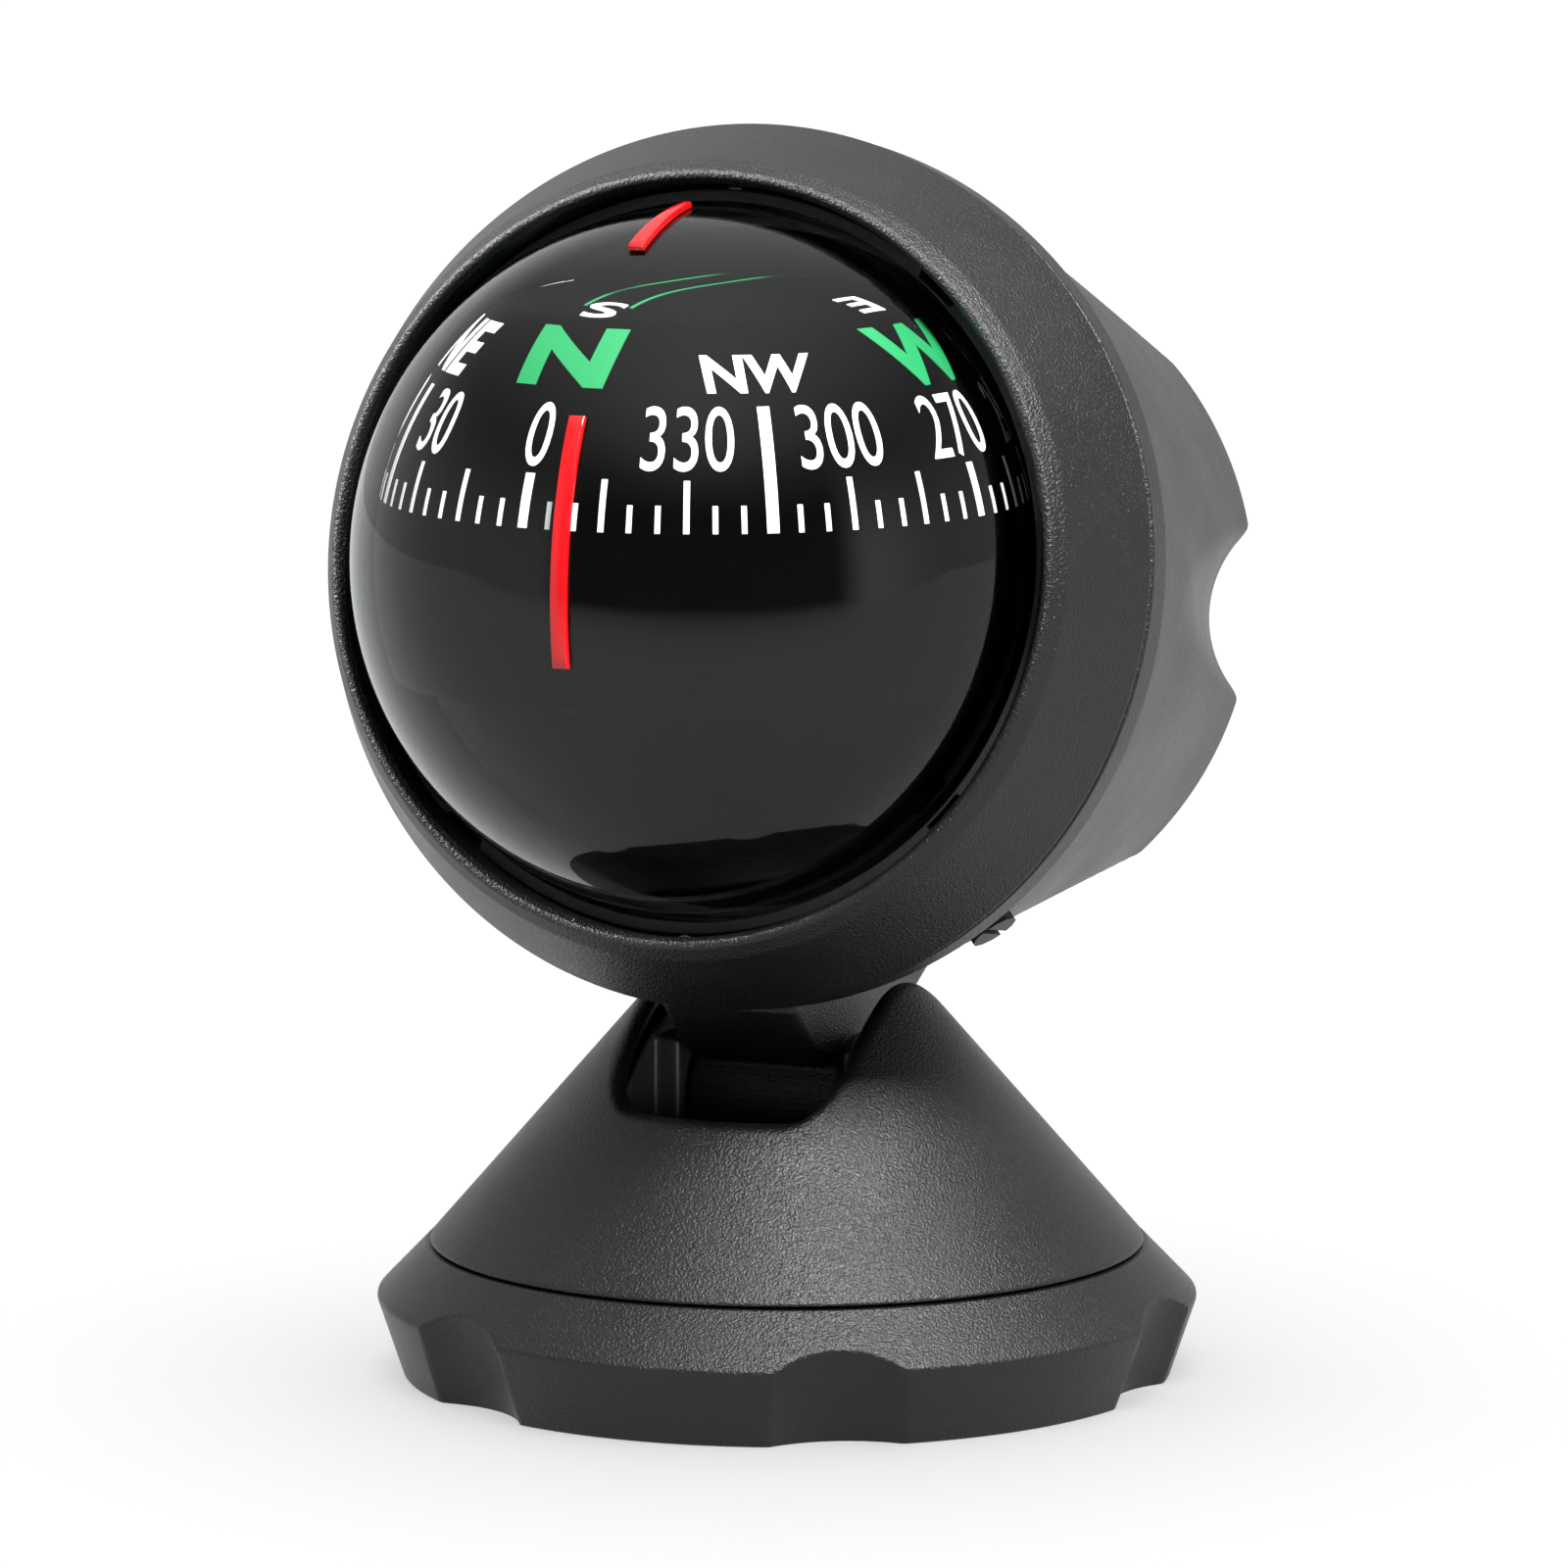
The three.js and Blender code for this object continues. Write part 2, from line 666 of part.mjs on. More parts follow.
// The arm that carries the pivot needle, from the bowl's lower wall to a foot below the centre,
// with the level cup that closes the card's open underside.
function pivotArm() {
  const half = 2;
  const corners = [[11.3, 0.2], [11.1, -4.3], [13.6, -13.8], [16.7, -10.4], [15.4, -1.2]];
  const flat = corners.map(([below, forward]) => [-below, forward]);
  const { outer, inner, rimLatitude } = CUP;
  const profile = [...arc(0, 0, outer, -90, rimLatitude, 8), ...arc(0, 0, inner, rimLatitude, -90, 8)];
  profile[0][0] = 0;
  profile.at(-1)[0] = 0;
  const cup = lathe(profile, MEDIUM).rotateX(-headTurn);
  return cut(join(prismAlongX(flat, -half, half), cup), needleShape(NEEDLE.radius + GAP));
}

// The needle stands upright in the world, so it leans in the head's frame.
function needleShape(radius) {
  const foot = NEEDLE.foot - (radius - NEEDLE.radius);
  const profile = [[0, foot], [radius, foot], [radius, NEEDLE.shoulder], [0, NEEDLE.tip]];
  return lathe(profile, SMALL).rotateX(-headTurn);
}

// A strip bent over the dome in the plane of symmetry, between two angles up from the head axis.
function lubberLine(from, to) {
  const steps = Math.max(3, Math.round((to - from) / 6));
  const outside = arc(0, 0, LUBBER.outer, from, to, steps);
  const inside = arc(0, 0, LUBBER.inner, to, from, steps);
  const yz = [...outside, ...inside].map(([forward, up]) => [up, forward]);
  return prismAlongX(yz, -LUBBER.halfWidth, LUBBER.halfWidth);
}

function compensatorScrew(angle) {
  const blank = screw({
    shaft: COMPENSATOR.shaft,
    head: COMPENSATOR.head,
    headBottom: 25.8,
    headTop: 26.4,
    tip: 21.6,
  });
  const driverSlot = block([-2, 2], [-0.2, 0.2], [26.1, 27]);
  const lying = cut(blank, driverSlot).rotate([0, 90, 0]);
  return lying.translate([0, 0, COMPENSATOR.depth]).rotate([0, 0, angle]);
}

function compensatorMagnet(angle) {
  const bar = block([20.15, 21.25], [-0.55, 0.55], [COMPENSATOR.depth - 1.5, COMPENSATOR.depth + 1.5]);
  return bar.rotateZ(rad(angle));
}

// ---------------------------------------------------------------- card, level, centred on the pivot

function cardWeb(turn) {
  const { halfWidth, hub, low, high, thickness, rise, end } = WEB;
  const miter = 0.4;
  const outline = [
    [hub, low],
    [rise[0], low],
    [rise[1], high],
    [end, high],
    [end, high + thickness],
    [rise[1] - miter, high + thickness],
    [rise[0] - miter, low + thickness],
    [hub, low + thickness],
  ];
  return prismAlongX(outline, -halfWidth, halfWidth).rotateZ(rad(turn));
}

function compassCard() {
  const latitudePoint = (radius, latitude) => arc(0, 0, radius, latitude, latitude, 1)[0];
  const inner = CARD.radius - CARD.wall;
  const crown = CARD.crownHeight;
  const [shoulderRadius] = latitudePoint(CARD.radius, CARD.shoulderLatitude);
  const shell = lathe([
    [0, crown],
    [shoulderRadius * 0.5, crown - CARD.crownDrop[0]],
    [shoulderRadius * 0.78, crown - CARD.crownDrop[1]],
    ...arc(0, 0, CARD.radius, CARD.shoulderLatitude, CARD.rimLatitude, 8),
    ...arc(0, 0, inner, CARD.rimLatitude, CARD.shoulderLatitude, 8),
    [shoulderRadius * 0.76, crown - CARD.crownDrop[1] - CARD.wall],
    [shoulderRadius * 0.5, crown - CARD.crownDrop[0] - CARD.wall],
    [0, crown - CARD.wall],
  ], MEDIUM);
  const legs = [[7.2, 0], [-7.2, 0], [0, 7.2], [0, -7.2]].map(([x, y]) => {
    return block([x - 0.7, x + 0.7], [y - 0.7, y + 0.7], [-1.5, WEB.low + 0.4]);
  });
  return join(
    shell,
    ...[0, 90, 180, 270].map(cardWeb),
    washer(2.8, 3.9, -0.5, WEB.low + WEB.thickness, SMALL),
    washer(5, 9.4, -2, -1, MEDIUM),
    ...legs,
  );
}

// ---------------------------------------------------------------- assembly

const compass = new THREE.Group();

addPiece(compass, 'adhesive_pad', disc(BASE.padRadius, 0, 1.2), 'foam');
addPiece(compass, 'base_ring', baseRing(), 'textured_black');
const glideRing = washer(17.6, 20.9, BASE.floorTop + GAP, CONE.skirtBottom - GAP);
addPiece(compass, 'glide_ring', glideRing, 'white_nylon');
const swivelWasher = washer(1.8, 4.4, BASE.hubTop + 0.25, YOKE.hubBottom - GAP, MEDIUM);
addPiece(compass, 'swivel_washer', swivelWasher, 'steel');

const pedestal = new THREE.Group();
compass.add(pedestal);
addPiece(pedestal, 'pedestal_cone', pedestalCone(), 'textured_black');
addPiece(pedestal, 'hinge_yoke', hingeYoke(), 'plain_black');
const swivelScrew = screw({ shaft: 1.2, head: 3, headBottom: 1.9, headTop: 3.4, tip: 9.6 });
addPiece(pedestal, 'swivel_screw', swivelScrew, 'steel');
for (const [side, x] of [['left', -YOKE.screwX], ['right', YOKE.screwX]]) {
  const blank = screw({ shaft: 0.7, head: 1.7, headBottom: 9.4, headTop: 10.5, tip: 15.6 });
  addPiece(pedestal, `yoke_screw_${side}`, moved(blank, x, 0, 0), 'steel');
}

const hinge = new THREE.Group();
hinge.position.set(0, 0, HINGE.height);
pedestal.add(hinge);
addPiece(hinge, 'hinge_screw', hingeScrew(), 'steel');
addPiece(hinge, 'hinge_nut', hingeNut(), 'steel');
addPiece(hinge, 'neck_bracket', neckBracket(), 'textured_black');
addPiece(hinge, 'friction_washer_left', frictionWasher(-1), 'white_nylon');
addPiece(hinge, 'friction_washer_right', frictionWasher(1), 'white_nylon');
for (const place of Object.keys(NECK_SCREWS)) {
  addPiece(hinge, `neck_screw_${place}`, neckScrew(place), 'steel');
}

const head = new THREE.Group();
head.position.set(...headPlace);
head.rotation.x = headTurn;
hinge.add(head);
addPiece(head, 'front_bezel', frontBezel(), 'textured_black');
addPiece(head, 'rear_housing', rearHousing(), 'textured_black');
addPiece(head, 'retaining_ring', retainingRing(), 'plain_black');
addPiece(head, 'dome_lens', domeLens(), 'clear');
addPiece(head, 'capsule_seal', washer(20.6, 21.9, -5.6, -5.2, MEDIUM), 'rubber');
addPiece(head, 'rear_bowl', rearBowl(), 'card_black');
addPiece(head, 'filler_plug', fillerPlug(), 'brass');
addPiece(head, 'expansion_diaphragm', expansionDiaphragm(), 'rubber');
addPiece(head, 'diaphragm_cover', diaphragmCover(), 'plain_black');
addPiece(head, 'pivot_arm', pivotArm(), 'card_black');
addPiece(head, 'pivot_needle', needleShape(NEEDLE.radius), 'dark_steel');
addPiece(head, 'lubber_line_front', lubberLine(-20, 20), 'red');
addPiece(head, 'lubber_line_top', moved(lubberLine(55.7, 77.5), LUBBER.topOffset, 0, 0), 'red');
capsuleScrewSpots().forEach(([x, y], i) => {
  const { shaft, head: headRadius } = CAPSULE_SCREW;
  const blank = screw({ shaft, head: headRadius, headBottom: -1.6, headTop: -0.8, tip: -10.4 });
  addPiece(head, `capsule_screw_${i + 1}`, moved(blank, x, y, 0), 'steel');
});
for (const [side, angle] of Object.entries(COMPENSATOR.angles)) {
  addPiece(head, `compensator_screw_${side}`, compensatorScrew(angle), 'plain_black');
  addPiece(head, `compensator_magnet_${side}`, compensatorMagnet(angle), 'magnet');
}

// The card group turns the head's pitch back out, so the card and its bearing lie level.
const level = new THREE.Group();
level.rotation.x = -headTurn;
head.add(level);
addPiece(level, 'pivot_jewel', disc(1, 0.3, 1.4, SMALL), 'sapphire');
const bushProfile = [[1.6, 1.85], [0, 1.85], [0, 2.8], [2.5, 2.8], [2.5, 0], [1.6, 0]];
addPiece(level, 'jewel_bush', lathe(bushProfile, SMALL), 'brass');

const card = new THREE.Group();
card.rotation.z = rad(CARD.heading);
level.add(card);
addPiece(card, 'compass_card', compassCard(), 'card_black');
addPiece(card, 'card_magnet_left', block([-7.9, -5.3], [-6.5, 6.5], [-5, -2.3]), 'magnet');
addPiece(card, 'card_magnet_right', block([5.3, 7.9], [-6.5, 6.5], [-5, -2.3]), 'magnet');
addPiece(card, 'balance_weight', washer(5, 8.2, -7.4, -5.3, MEDIUM), 'dark_brass');

export default compass;
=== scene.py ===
import functools
import json
import math
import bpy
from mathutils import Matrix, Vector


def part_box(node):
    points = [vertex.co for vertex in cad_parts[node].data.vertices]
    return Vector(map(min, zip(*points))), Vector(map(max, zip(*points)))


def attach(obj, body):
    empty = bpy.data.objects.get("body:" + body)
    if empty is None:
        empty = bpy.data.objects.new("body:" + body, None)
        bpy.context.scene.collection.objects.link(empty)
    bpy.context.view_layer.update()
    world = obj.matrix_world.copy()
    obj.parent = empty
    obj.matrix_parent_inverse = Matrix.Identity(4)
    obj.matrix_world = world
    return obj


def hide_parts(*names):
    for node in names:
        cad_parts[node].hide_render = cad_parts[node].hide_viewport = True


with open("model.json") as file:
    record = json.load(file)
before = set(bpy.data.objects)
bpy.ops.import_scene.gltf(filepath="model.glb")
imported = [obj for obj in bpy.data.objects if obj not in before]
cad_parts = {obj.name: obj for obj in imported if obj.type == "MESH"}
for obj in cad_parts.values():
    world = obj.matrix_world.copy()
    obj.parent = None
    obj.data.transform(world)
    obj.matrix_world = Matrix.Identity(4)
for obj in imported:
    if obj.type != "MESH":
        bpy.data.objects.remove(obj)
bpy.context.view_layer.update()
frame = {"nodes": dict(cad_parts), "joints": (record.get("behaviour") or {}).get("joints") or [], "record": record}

from types import SimpleNamespace as Sizes

import bmesh
import bpy
import numpy as np
from mathutils import Vector

# Shapes are worked out in millimetres in the row frame and scaled to metres when a mesh is made.
MM = 0.001


# ---------------------------- what the frame fixes

def joint(name):
    return next(j for j in frame["joints"] if j["name"] == name)


def millimetres(point):
    return np.array(point, float) / MM


HINGE = millimetres(joint("head_tilt")["pos_m"])
CENTRE = millimetres(joint("card_pitch")["pos_m"])

# The compensator's axis lies in the plane across the head, so it gives the head's up direction.
across_head = np.array(joint("compensator_right_turn")["axis"], float)
UP = -across_head * np.array([0, 1, 1])
UP /= np.linalg.norm(UP)
RIGHT = np.array([1.0, 0, 0])
FORWARD = np.cross(RIGHT, UP)

BASE_RADIUS, _, BASE_TOP = millimetres(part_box("base_ring")[1])


def head_to_row(points):
    """Points in the head's frame (X right, Y up, Z forward from the dome's centre) to the row frame."""
    points = np.asarray(points, float)
    return CENTRE + points[:, :1] * RIGHT + points[:, 1:2] * UP + points[:, 2:3] * FORWARD


def spun(points, degrees):
    """Points turned about Z."""
    turn = math.radians(degrees)
    points = np.asarray(points, float)
    x = points[:, 0] * math.cos(turn) - points[:, 1] * math.sin(turn)
    y = points[:, 0] * math.sin(turn) + points[:, 1] * math.cos(turn)
    return np.column_stack([x, y, points[:, 2]])


def card_to_row(points):
    """Points in the level card's frame, centred on the pivot and turned to its heading, to the row frame."""
    return CENTRE + spun(points, CARD.heading)


# ---------------------------- driving sizes, millimetres and degrees

BASE = Sizes(
    foot=23.5, rim_height=4.82, top=22.1, well=21.6, floor=3.3, under=1.5, pad=20.5, boss=6.0, boss_top=5.0,
    bore=1.7, seat=3.5, seat_top=3.7,
)
BASE_SCALLOP = Sizes(count=6, radius=7.4, valley=21.8, height=0.0, lean=20.6, blend=0.12)

CONE = Sizes(
    slope=1.149, apex=33.32, low=8.1, wall=2.0, skirt=21.2, skirt_in=19.6, skirt_low=4.5, roof_gap=0.25,
    roof_blend=0.8, low_blend=0.25,
)
SLOT = Sizes(
    half=6.8, sill=17.4, corner=2.0, edge_blend=0.4, mouth_blend=1.1, mouth_start=0.3, mouth_rise=2.5,
)
ROOF = Sizes(radius=7.5, angle=26)

BEZEL = Sizes(
    rim=26.6, rim_depth=-4.45, lip=23.8, lip_depth=2.0, front=3.0, throat=22.36, throat_front=2.58,
    throat_back=-0.4, bore=24.25, back=-4.98,
)
HOUSING = Sizes(
    front=-5.12, flange=26.5, shoulder_depth=-7.5, shoulder=25.9, back_radius=21.35, back=-37.6,
    ledge=-7.4, ledge_radius=21.6, ledge_back=-11.5, chamber=22.6, chamber_turn=-16.0,
    chamber_back=-35.6, chamber_back_radius=16.4, vent=1.0, back_fillet=0.6,
)
HOUSING_SCALLOP = Sizes(count=6, radius=7.2, valley=18.3, height=-37.6, lean=17.5, blend=0.7)
RING = Sizes(
    bore=21.4, sleeve=22.16, front=1.0, flange=23.9, flange_front=-1.9, back=-3.3, snap=50, snap_half=3.7,
    snap_low=-0.6, snap_wall=0.2,
)
DOME = Sizes(outer=21.15, inner=20.35, flange=23.9, flange_front=-3.6, flange_back=-4.9)
LUBBER = Sizes(half=0.5, inner=21.2, outer=21.58, bevel=0.12)
LUBBER_FRONT = (-20, 19.8)
LUBBER_TOP = (55.7, 77.5)

CARD = Sizes(
    radius=19.7, wall=0.6, skirt=-20.0, crown_latitude=52.1, crown_middle=16.75, crown_bow=11.5,
    under_radius=11.4, shoulder_fillet=0.8, heading=-10,
)
WEB = Sizes(low=4.4, high=9.3, thick=0.9, start=3.2, rise=(9.0, 14.2), miter=0.4, end=16.75, half=1.2)
HUB = Sizes(radii=(2.8, 3.9), low=-0.5)
LEG = Sizes(place=7.2, half=0.7, low=-1.5, overlap=0.4)
MAGNET_PLATE = Sizes(radii=(5.0, 9.4), low=-2.0, high=-1.0)
CUP = Sizes(outer=17.9, inner=17.3, rim=-1, arm_half=2.0)
ARM_SIDE = [(11.3, 0.2), (11.1, -4.3), (13.6, -13.8), (16.7, -10.4), (15.4, -1.2)]
NECK = Sizes(
    half=4.4, barrel=3.9, barrel_half=4.9, bore=1.8, pocket=3.0, pocket_deep=0.8, ridge=0.37,
    ridge_deep=0.02, ridge_middle=12, ridge_reach=22, ridge_fade=6, arm_blend=0.5, barrel_blend=0.3,
    housing_gap=0.3,
)
NECK_SIDE = [
    (-2.6, 2.2), (-6.4, 3.9), (-9.3, 6.7), (-9.3, 12), (12.9, 12), (12.9, 6.45), (10.75, 5.4), (3.1, 1.4),
]
YOKE = Sizes(
    plate=14.4, plate_low=10.8, plate_high=12.6, hub=4.2, hub_low=5.95, wall_in=7.0, wall_out=8.2,
    wall_reach=13, wall_round=0.2, cone_gap=0.4, roof_gap=1.7, cheek_in=5.35, cheek_reach=4.2,
    cheek_top=20.8, cheek_sink=0.5, cheek_round=0.3, pin=1.8, bore=1.5, bore_top=10.2, screw_x=12.2,
    screw=1.0,
)

# The studio is in metres and degrees. Lights are placed from the aim point along front, right and up.
STUDIO = Sizes(
    floor_front=0.42, floor_fade=0.11, floor_glow=0.43, floor_far=2.0,
    tent=0.8, ceiling=1.65, ceiling_from=(0.5, 1.0), backdrop=1.2,
    left_shade=-0.5, right_shade=-0.45, shade_from=(-0.1, 0.75), side_from=(0.1, 0.6),
    right_glow=0.5, glow_end=(58, 84), gap=0.12, gap_half=56, gap_soft=14, gap_top=(0.35, 0.72),
)
LIGHT_AIM = (0, 0, 0.03)
KEY = Sizes(place=(0.225, 0.115, 0.348), aim_drop=0, size=(0.1, 0.1), power=5.0)
LEFT_RIM = Sizes(place=(0.02, -0.4, 0.3), aim_drop=0, size=(0.15, 0.3), power=8.5)
SLOT_FILL = Sizes(place=(0.27, 0.126, -0.01), aim_drop=0.012, size=(0.08, 0.08), power=0.6)
CAMERA = Sizes(azimuth=22.76, elevation=8.46, distance=600.0, aim_height=36.12, aim_side=-0.18, lens=226.47)


# ---------------------------- mesh helpers

def new_object(name, data):
    obj = bpy.data.objects.new(name, data)
    bpy.context.scene.collection.objects.link(obj)
    return obj


def piece(name, points, faces, body, material, replaces=()):
    """A smooth-shaded mesh from points in row-frame millimetres, riding on a body."""
    mesh = bpy.data.meshes.new(name)
    mesh.from_pydata((np.asarray(points, float) * MM).tolist(), [], faces)
    mesh.validate()
    made = bmesh.new()
    made.from_mesh(mesh)
    bmesh.ops.remove_doubles(made, verts=made.verts, dist=1e-8)
    bmesh.ops.recalc_face_normals(made, faces=made.faces)
    if made.calc_volume(signed=True) < 0:
        bmesh.ops.reverse_faces(made, faces=made.faces)
    made.to_mesh(mesh)
    made.free()
    mesh.shade_smooth()
    obj = new_object(name, mesh)
    mesh.materials.append(material)
    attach(obj, body)
    if replaces:
        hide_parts(*replaces)
    return obj


SHARP = math.radians(40)


def dense(path, closed, step, support):
    """A polyline with points added along its straights, and one close to each end of every straight."""
    out = []
    count = len(path)
    for i in range(count if closed else count - 1):
        a = np.array(path[i], float)
        b = np.array(path[(i + 1) % count], float)
        length = np.linalg.norm(b - a)
        stops = [0.0]
        if length > 3 * support:
            inner = length - 2 * support
            parts = max(1, math.ceil(inner / step))
            stops += [(support + inner * k / parts) / length for k in range(parts + 1)]
        out += [tuple(a + (b - a) * t) for t in stops]
    if not closed:
        out.append(tuple(path[-1]))
    return out


def outline(corners, closed=False, step=1.0, support=0.1):
    """A profile from (radius, height, fillet) corners: each fillet becomes an arc."""
    path = []
    count = len(corners)
    for i, (radius, height, fillet) in enumerate(corners):
        here = Vector((radius, height))
        if not fillet or (not closed and i in (0, count - 1)):
            path.append(tuple(here))
            continue
        back = Vector(corners[i - 1][:2]) - here
        onward = Vector(corners[(i + 1) % count][:2]) - here
        half = back.angle(onward) / 2
        reach = min(fillet / math.tan(half), 0.48 * back.length, 0.48 * onward.length)
        size = reach * math.tan(half)
        back.normalize()
        onward.normalize()
        middle = here + (back + onward).normalized() * (size / math.sin(half))
        start = here + back * reach - middle
        end = here + onward * reach - middle
        sweep = start.angle(end)
        turn = math.copysign(1, start.x * end.y - start.y * end.x)
        steps = max(2, math.ceil(math.degrees(sweep) / 14))
        for k in range(steps + 1):
            a = turn * sweep * k / steps
            spot = Vector((
                start.x * math.cos(a) - start.y * math.sin(a),
                start.x * math.sin(a) + start.y * math.cos(a),
            ))
            path.append(tuple(middle + spot))
    return dense(path, closed, step, support)


def arc(radius, start, end, steps):
    """(radius, height) points on a circle about the centre, between two latitudes in degrees."""
    angles = np.radians(np.linspace(start, end, steps + 1))
    return [(radius * math.cos(a), radius * math.sin(a)) for a in angles]


def unfilleted(path):
    """(radius, height) points as corners for outline, none of them rounded."""
    return [point + (0,) for point in path]


def turned(profile, sides, closed, limit=None):
    """Rows of points for a profile turned about Z. limit(angle, radius, height) can pull a row in."""
    angle = np.linspace(0, 2 * math.pi, sides, endpoint=False)
    points, faces, rows = [], [], []
    for radius, height in profile:
        if radius < 1e-6:
            rows.append((len(points), 1))
            points.append((0.0, 0.0, height))
            continue
        reach = np.full(sides, radius) if limit is None else limit(angle, radius, height)
        rows.append((len(points), sides))
        points += list(zip(reach * np.cos(angle), reach * np.sin(angle), np.full(sides, height)))
    pairs = list(zip(rows, rows[1:]))
    if closed:
        pairs.append((rows[-1], rows[0]))
    for (a, na), (b, nb) in pairs:
        for k in range(sides):
            n = (k + 1) % sides
            if na == 1 and nb == 1:
                continue
            if na == 1:
                faces.append((a, b + k, b + n))
            elif nb == 1:
                faces.append((a + k, b, a + n))
            else:
                faces.append((a + k, b + k, b + n, a + n))
    return np.array(points), faces


def smooth_min(a, b, blend):
    share = np.clip(0.5 + 0.5 * (b - a) / blend, 0, 1)
    return b * (1 - share) + a * share - blend * share * (1 - share)


def smooth_max(a, b, blend):
    return -smooth_min(-a, -b, blend)


def scallop_limit(angle, height, s):
    """The radius at which the nearest leaning finger cylinder cuts a round wall."""
    sector = 2 * math.pi / s.count
    off = (angle + sector / 2) % sector - sector / 2
    lean = math.radians(s.lean)
    axis_radius = s.valley + s.radius * math.cos(lean)
    axis_height = s.height - s.radius * math.sin(lean)
    k = axis_radius * math.cos(lean) + (height - axis_height) * math.sin(lean)
    c = np.cos(off) * math.cos(lean)
    a = c ** 2 + np.sin(off) ** 2
    root = (k * c) ** 2 - (k ** 2 - s.radius ** 2) * a
    cut = (k * c - np.sqrt(np.maximum(root, 0))) / a
    return np.where(root > 0, cut, 99.0)


def surface_net(field, axes, to_space, wrap=False, settle=4):
    """The zero surface of field(points) as a closed mesh, from a grid whose axes to_space maps to space."""
    grid = np.meshgrid(*axes, indexing="ij")
    flat = to_space(np.column_stack([g.ravel() for g in grid]))
    value = field(flat).reshape(grid[0].shape)
    if wrap:
        value = np.concatenate([value, value[:1]], axis=0)
    inside = value < 0
    shape = tuple(n - 1 for n in value.shape)
    total = np.zeros(shape + (3,))
    count = np.zeros(shape)
    corner = [(i, j, k) for i in (0, 1) for j in (0, 1) for k in (0, 1)]

    def at(array, c):
        return array[tuple(slice(c[d], c[d] + shape[d]) for d in range(3))]

    for c in corner:
        for d in range(3):
            if c[d]:
                continue
            other = tuple(v + (i == d) for i, v in enumerate(c))
            a, b = at(value, c), at(value, other)
            crosses = at(inside, c) != at(inside, other)
            share = np.where(crosses, a / np.where(a == b, 1, a - b), 0)
            spot = np.array(c, float) * crosses[..., None]
            spot[..., d] += share * crosses
            total += spot
            count += crosses
    used = count > 0
    number = np.full(shape, -1)
    number[used] = np.arange(used.sum())
    cell = np.argwhere(used)
    where = cell + total[used] / count[used][:, None]
    line = [np.interp(where[:, d], np.arange(len(axes[d])), axes[d]) for d in range(3)]
    if wrap:
        pitch = axes[0][1] - axes[0][0]
        line[0] = axes[0][0] + where[:, 0] * pitch
    points = to_space(np.column_stack(line))
    faces = []
    for d in range(3):
        e, f = [k for k in range(3) if k != d]
        crossing = np.diff(inside.astype(int), axis=d) != 0
        spots = np.argwhere(crossing)
        first = 0 if wrap else 1
        keep = np.ones(len(spots), bool)
        for k in (e, f):
            low = first if k == 0 else 1
            keep &= (spots[:, k] >= low) & (spots[:, k] < shape[k])
        spots = spots[keep]
        ring = []
        for se, sf in ((1, 1), (0, 1), (0, 0), (1, 0)):
            near = spots.copy()
            near[:, e] -= se
            near[:, f] -= sf
            if wrap:
                near[:, 0] %= shape[0]
            ring.append(number[tuple(near.T)])
        faces += np.column_stack(ring).tolist()
    for _ in range(settle):
        here = field(points)
        slope = np.zeros_like(points)
        for d in range(3):
            shifted = points.copy()
            shifted[:, d] += 1e-3
            slope[:, d] = (field(shifted) - here) / 1e-3
        size = np.maximum((slope ** 2).sum(1), 0.05)
        points = points - slope * np.clip(here / size, -0.1, 0.1)[:, None]
    return points, faces


# ---------------------------- materials

def empty_tree(owner):
    """The node tree of a new material or world, cleared."""
    owner.use_nodes = True
    owner.node_tree.nodes.clear()
    return owner.node_tree


def set_inputs(node, values):
    for socket, value in values.items():
        node.inputs[socket].default_value = value


def new_material(name):
    material = bpy.data.materials.new(name)
    tree = empty_tree(material)
    output = tree.nodes.new("ShaderNodeOutputMaterial")
    shader = tree.nodes.new("ShaderNodeBsdfPrincipled")
    tree.links.new(shader.outputs[0], output.inputs["Surface"])
    return material, tree, shader


def noise(tree, scale, detail=2.0, roughness=0.5):
    where = tree.nodes.new("ShaderNodeTexCoord")
    made = tree.nodes.new("ShaderNodeTexNoise")
    set_inputs(made, {"Scale": scale, "Detail": detail, "Roughness": roughness})
    tree.links.new(where.outputs["Object"], made.inputs["Vector"])
    return made


def maths(tree, operation, *values):
    made = tree.nodes.new("ShaderNodeMath")
    made.operation = operation
    for socket, value in zip(made.inputs, values):
        if isinstance(value, (int, float)):
            socket.default_value = value
        else:
            tree.links.new(value, socket)
    return made.outputs[0]


def ramp(tree, source, stops):
    made = tree.nodes.new("ShaderNodeValToRGB")
    while len(made.color_ramp.elements) < len(stops):
        made.color_ramp.elements.new(0.5)
    for element, (position, value) in zip(made.color_ramp.elements, stops):
        element.position = position
        element.color = value if hasattr(value, "__len__") else (value, value, value, 1)
    tree.links.new(source, made.inputs["Fac"])
    return made


def drifting(tree, shader, scale, tint, shares, roughness):
    """Lets the colour and the roughness drift together between two values each."""
    drift = noise(tree, scale, 3).outputs["Fac"]
    tints = [[c * share for c in tint] + [1] for share in shares]
    for (low, high), socket in ((tints, "Base Color"), (roughness, "Roughness")):
        made = ramp(tree, drift, [(0.3, low), (0.7, high)])
        tree.links.new(made.outputs["Color"], shader.inputs[socket])


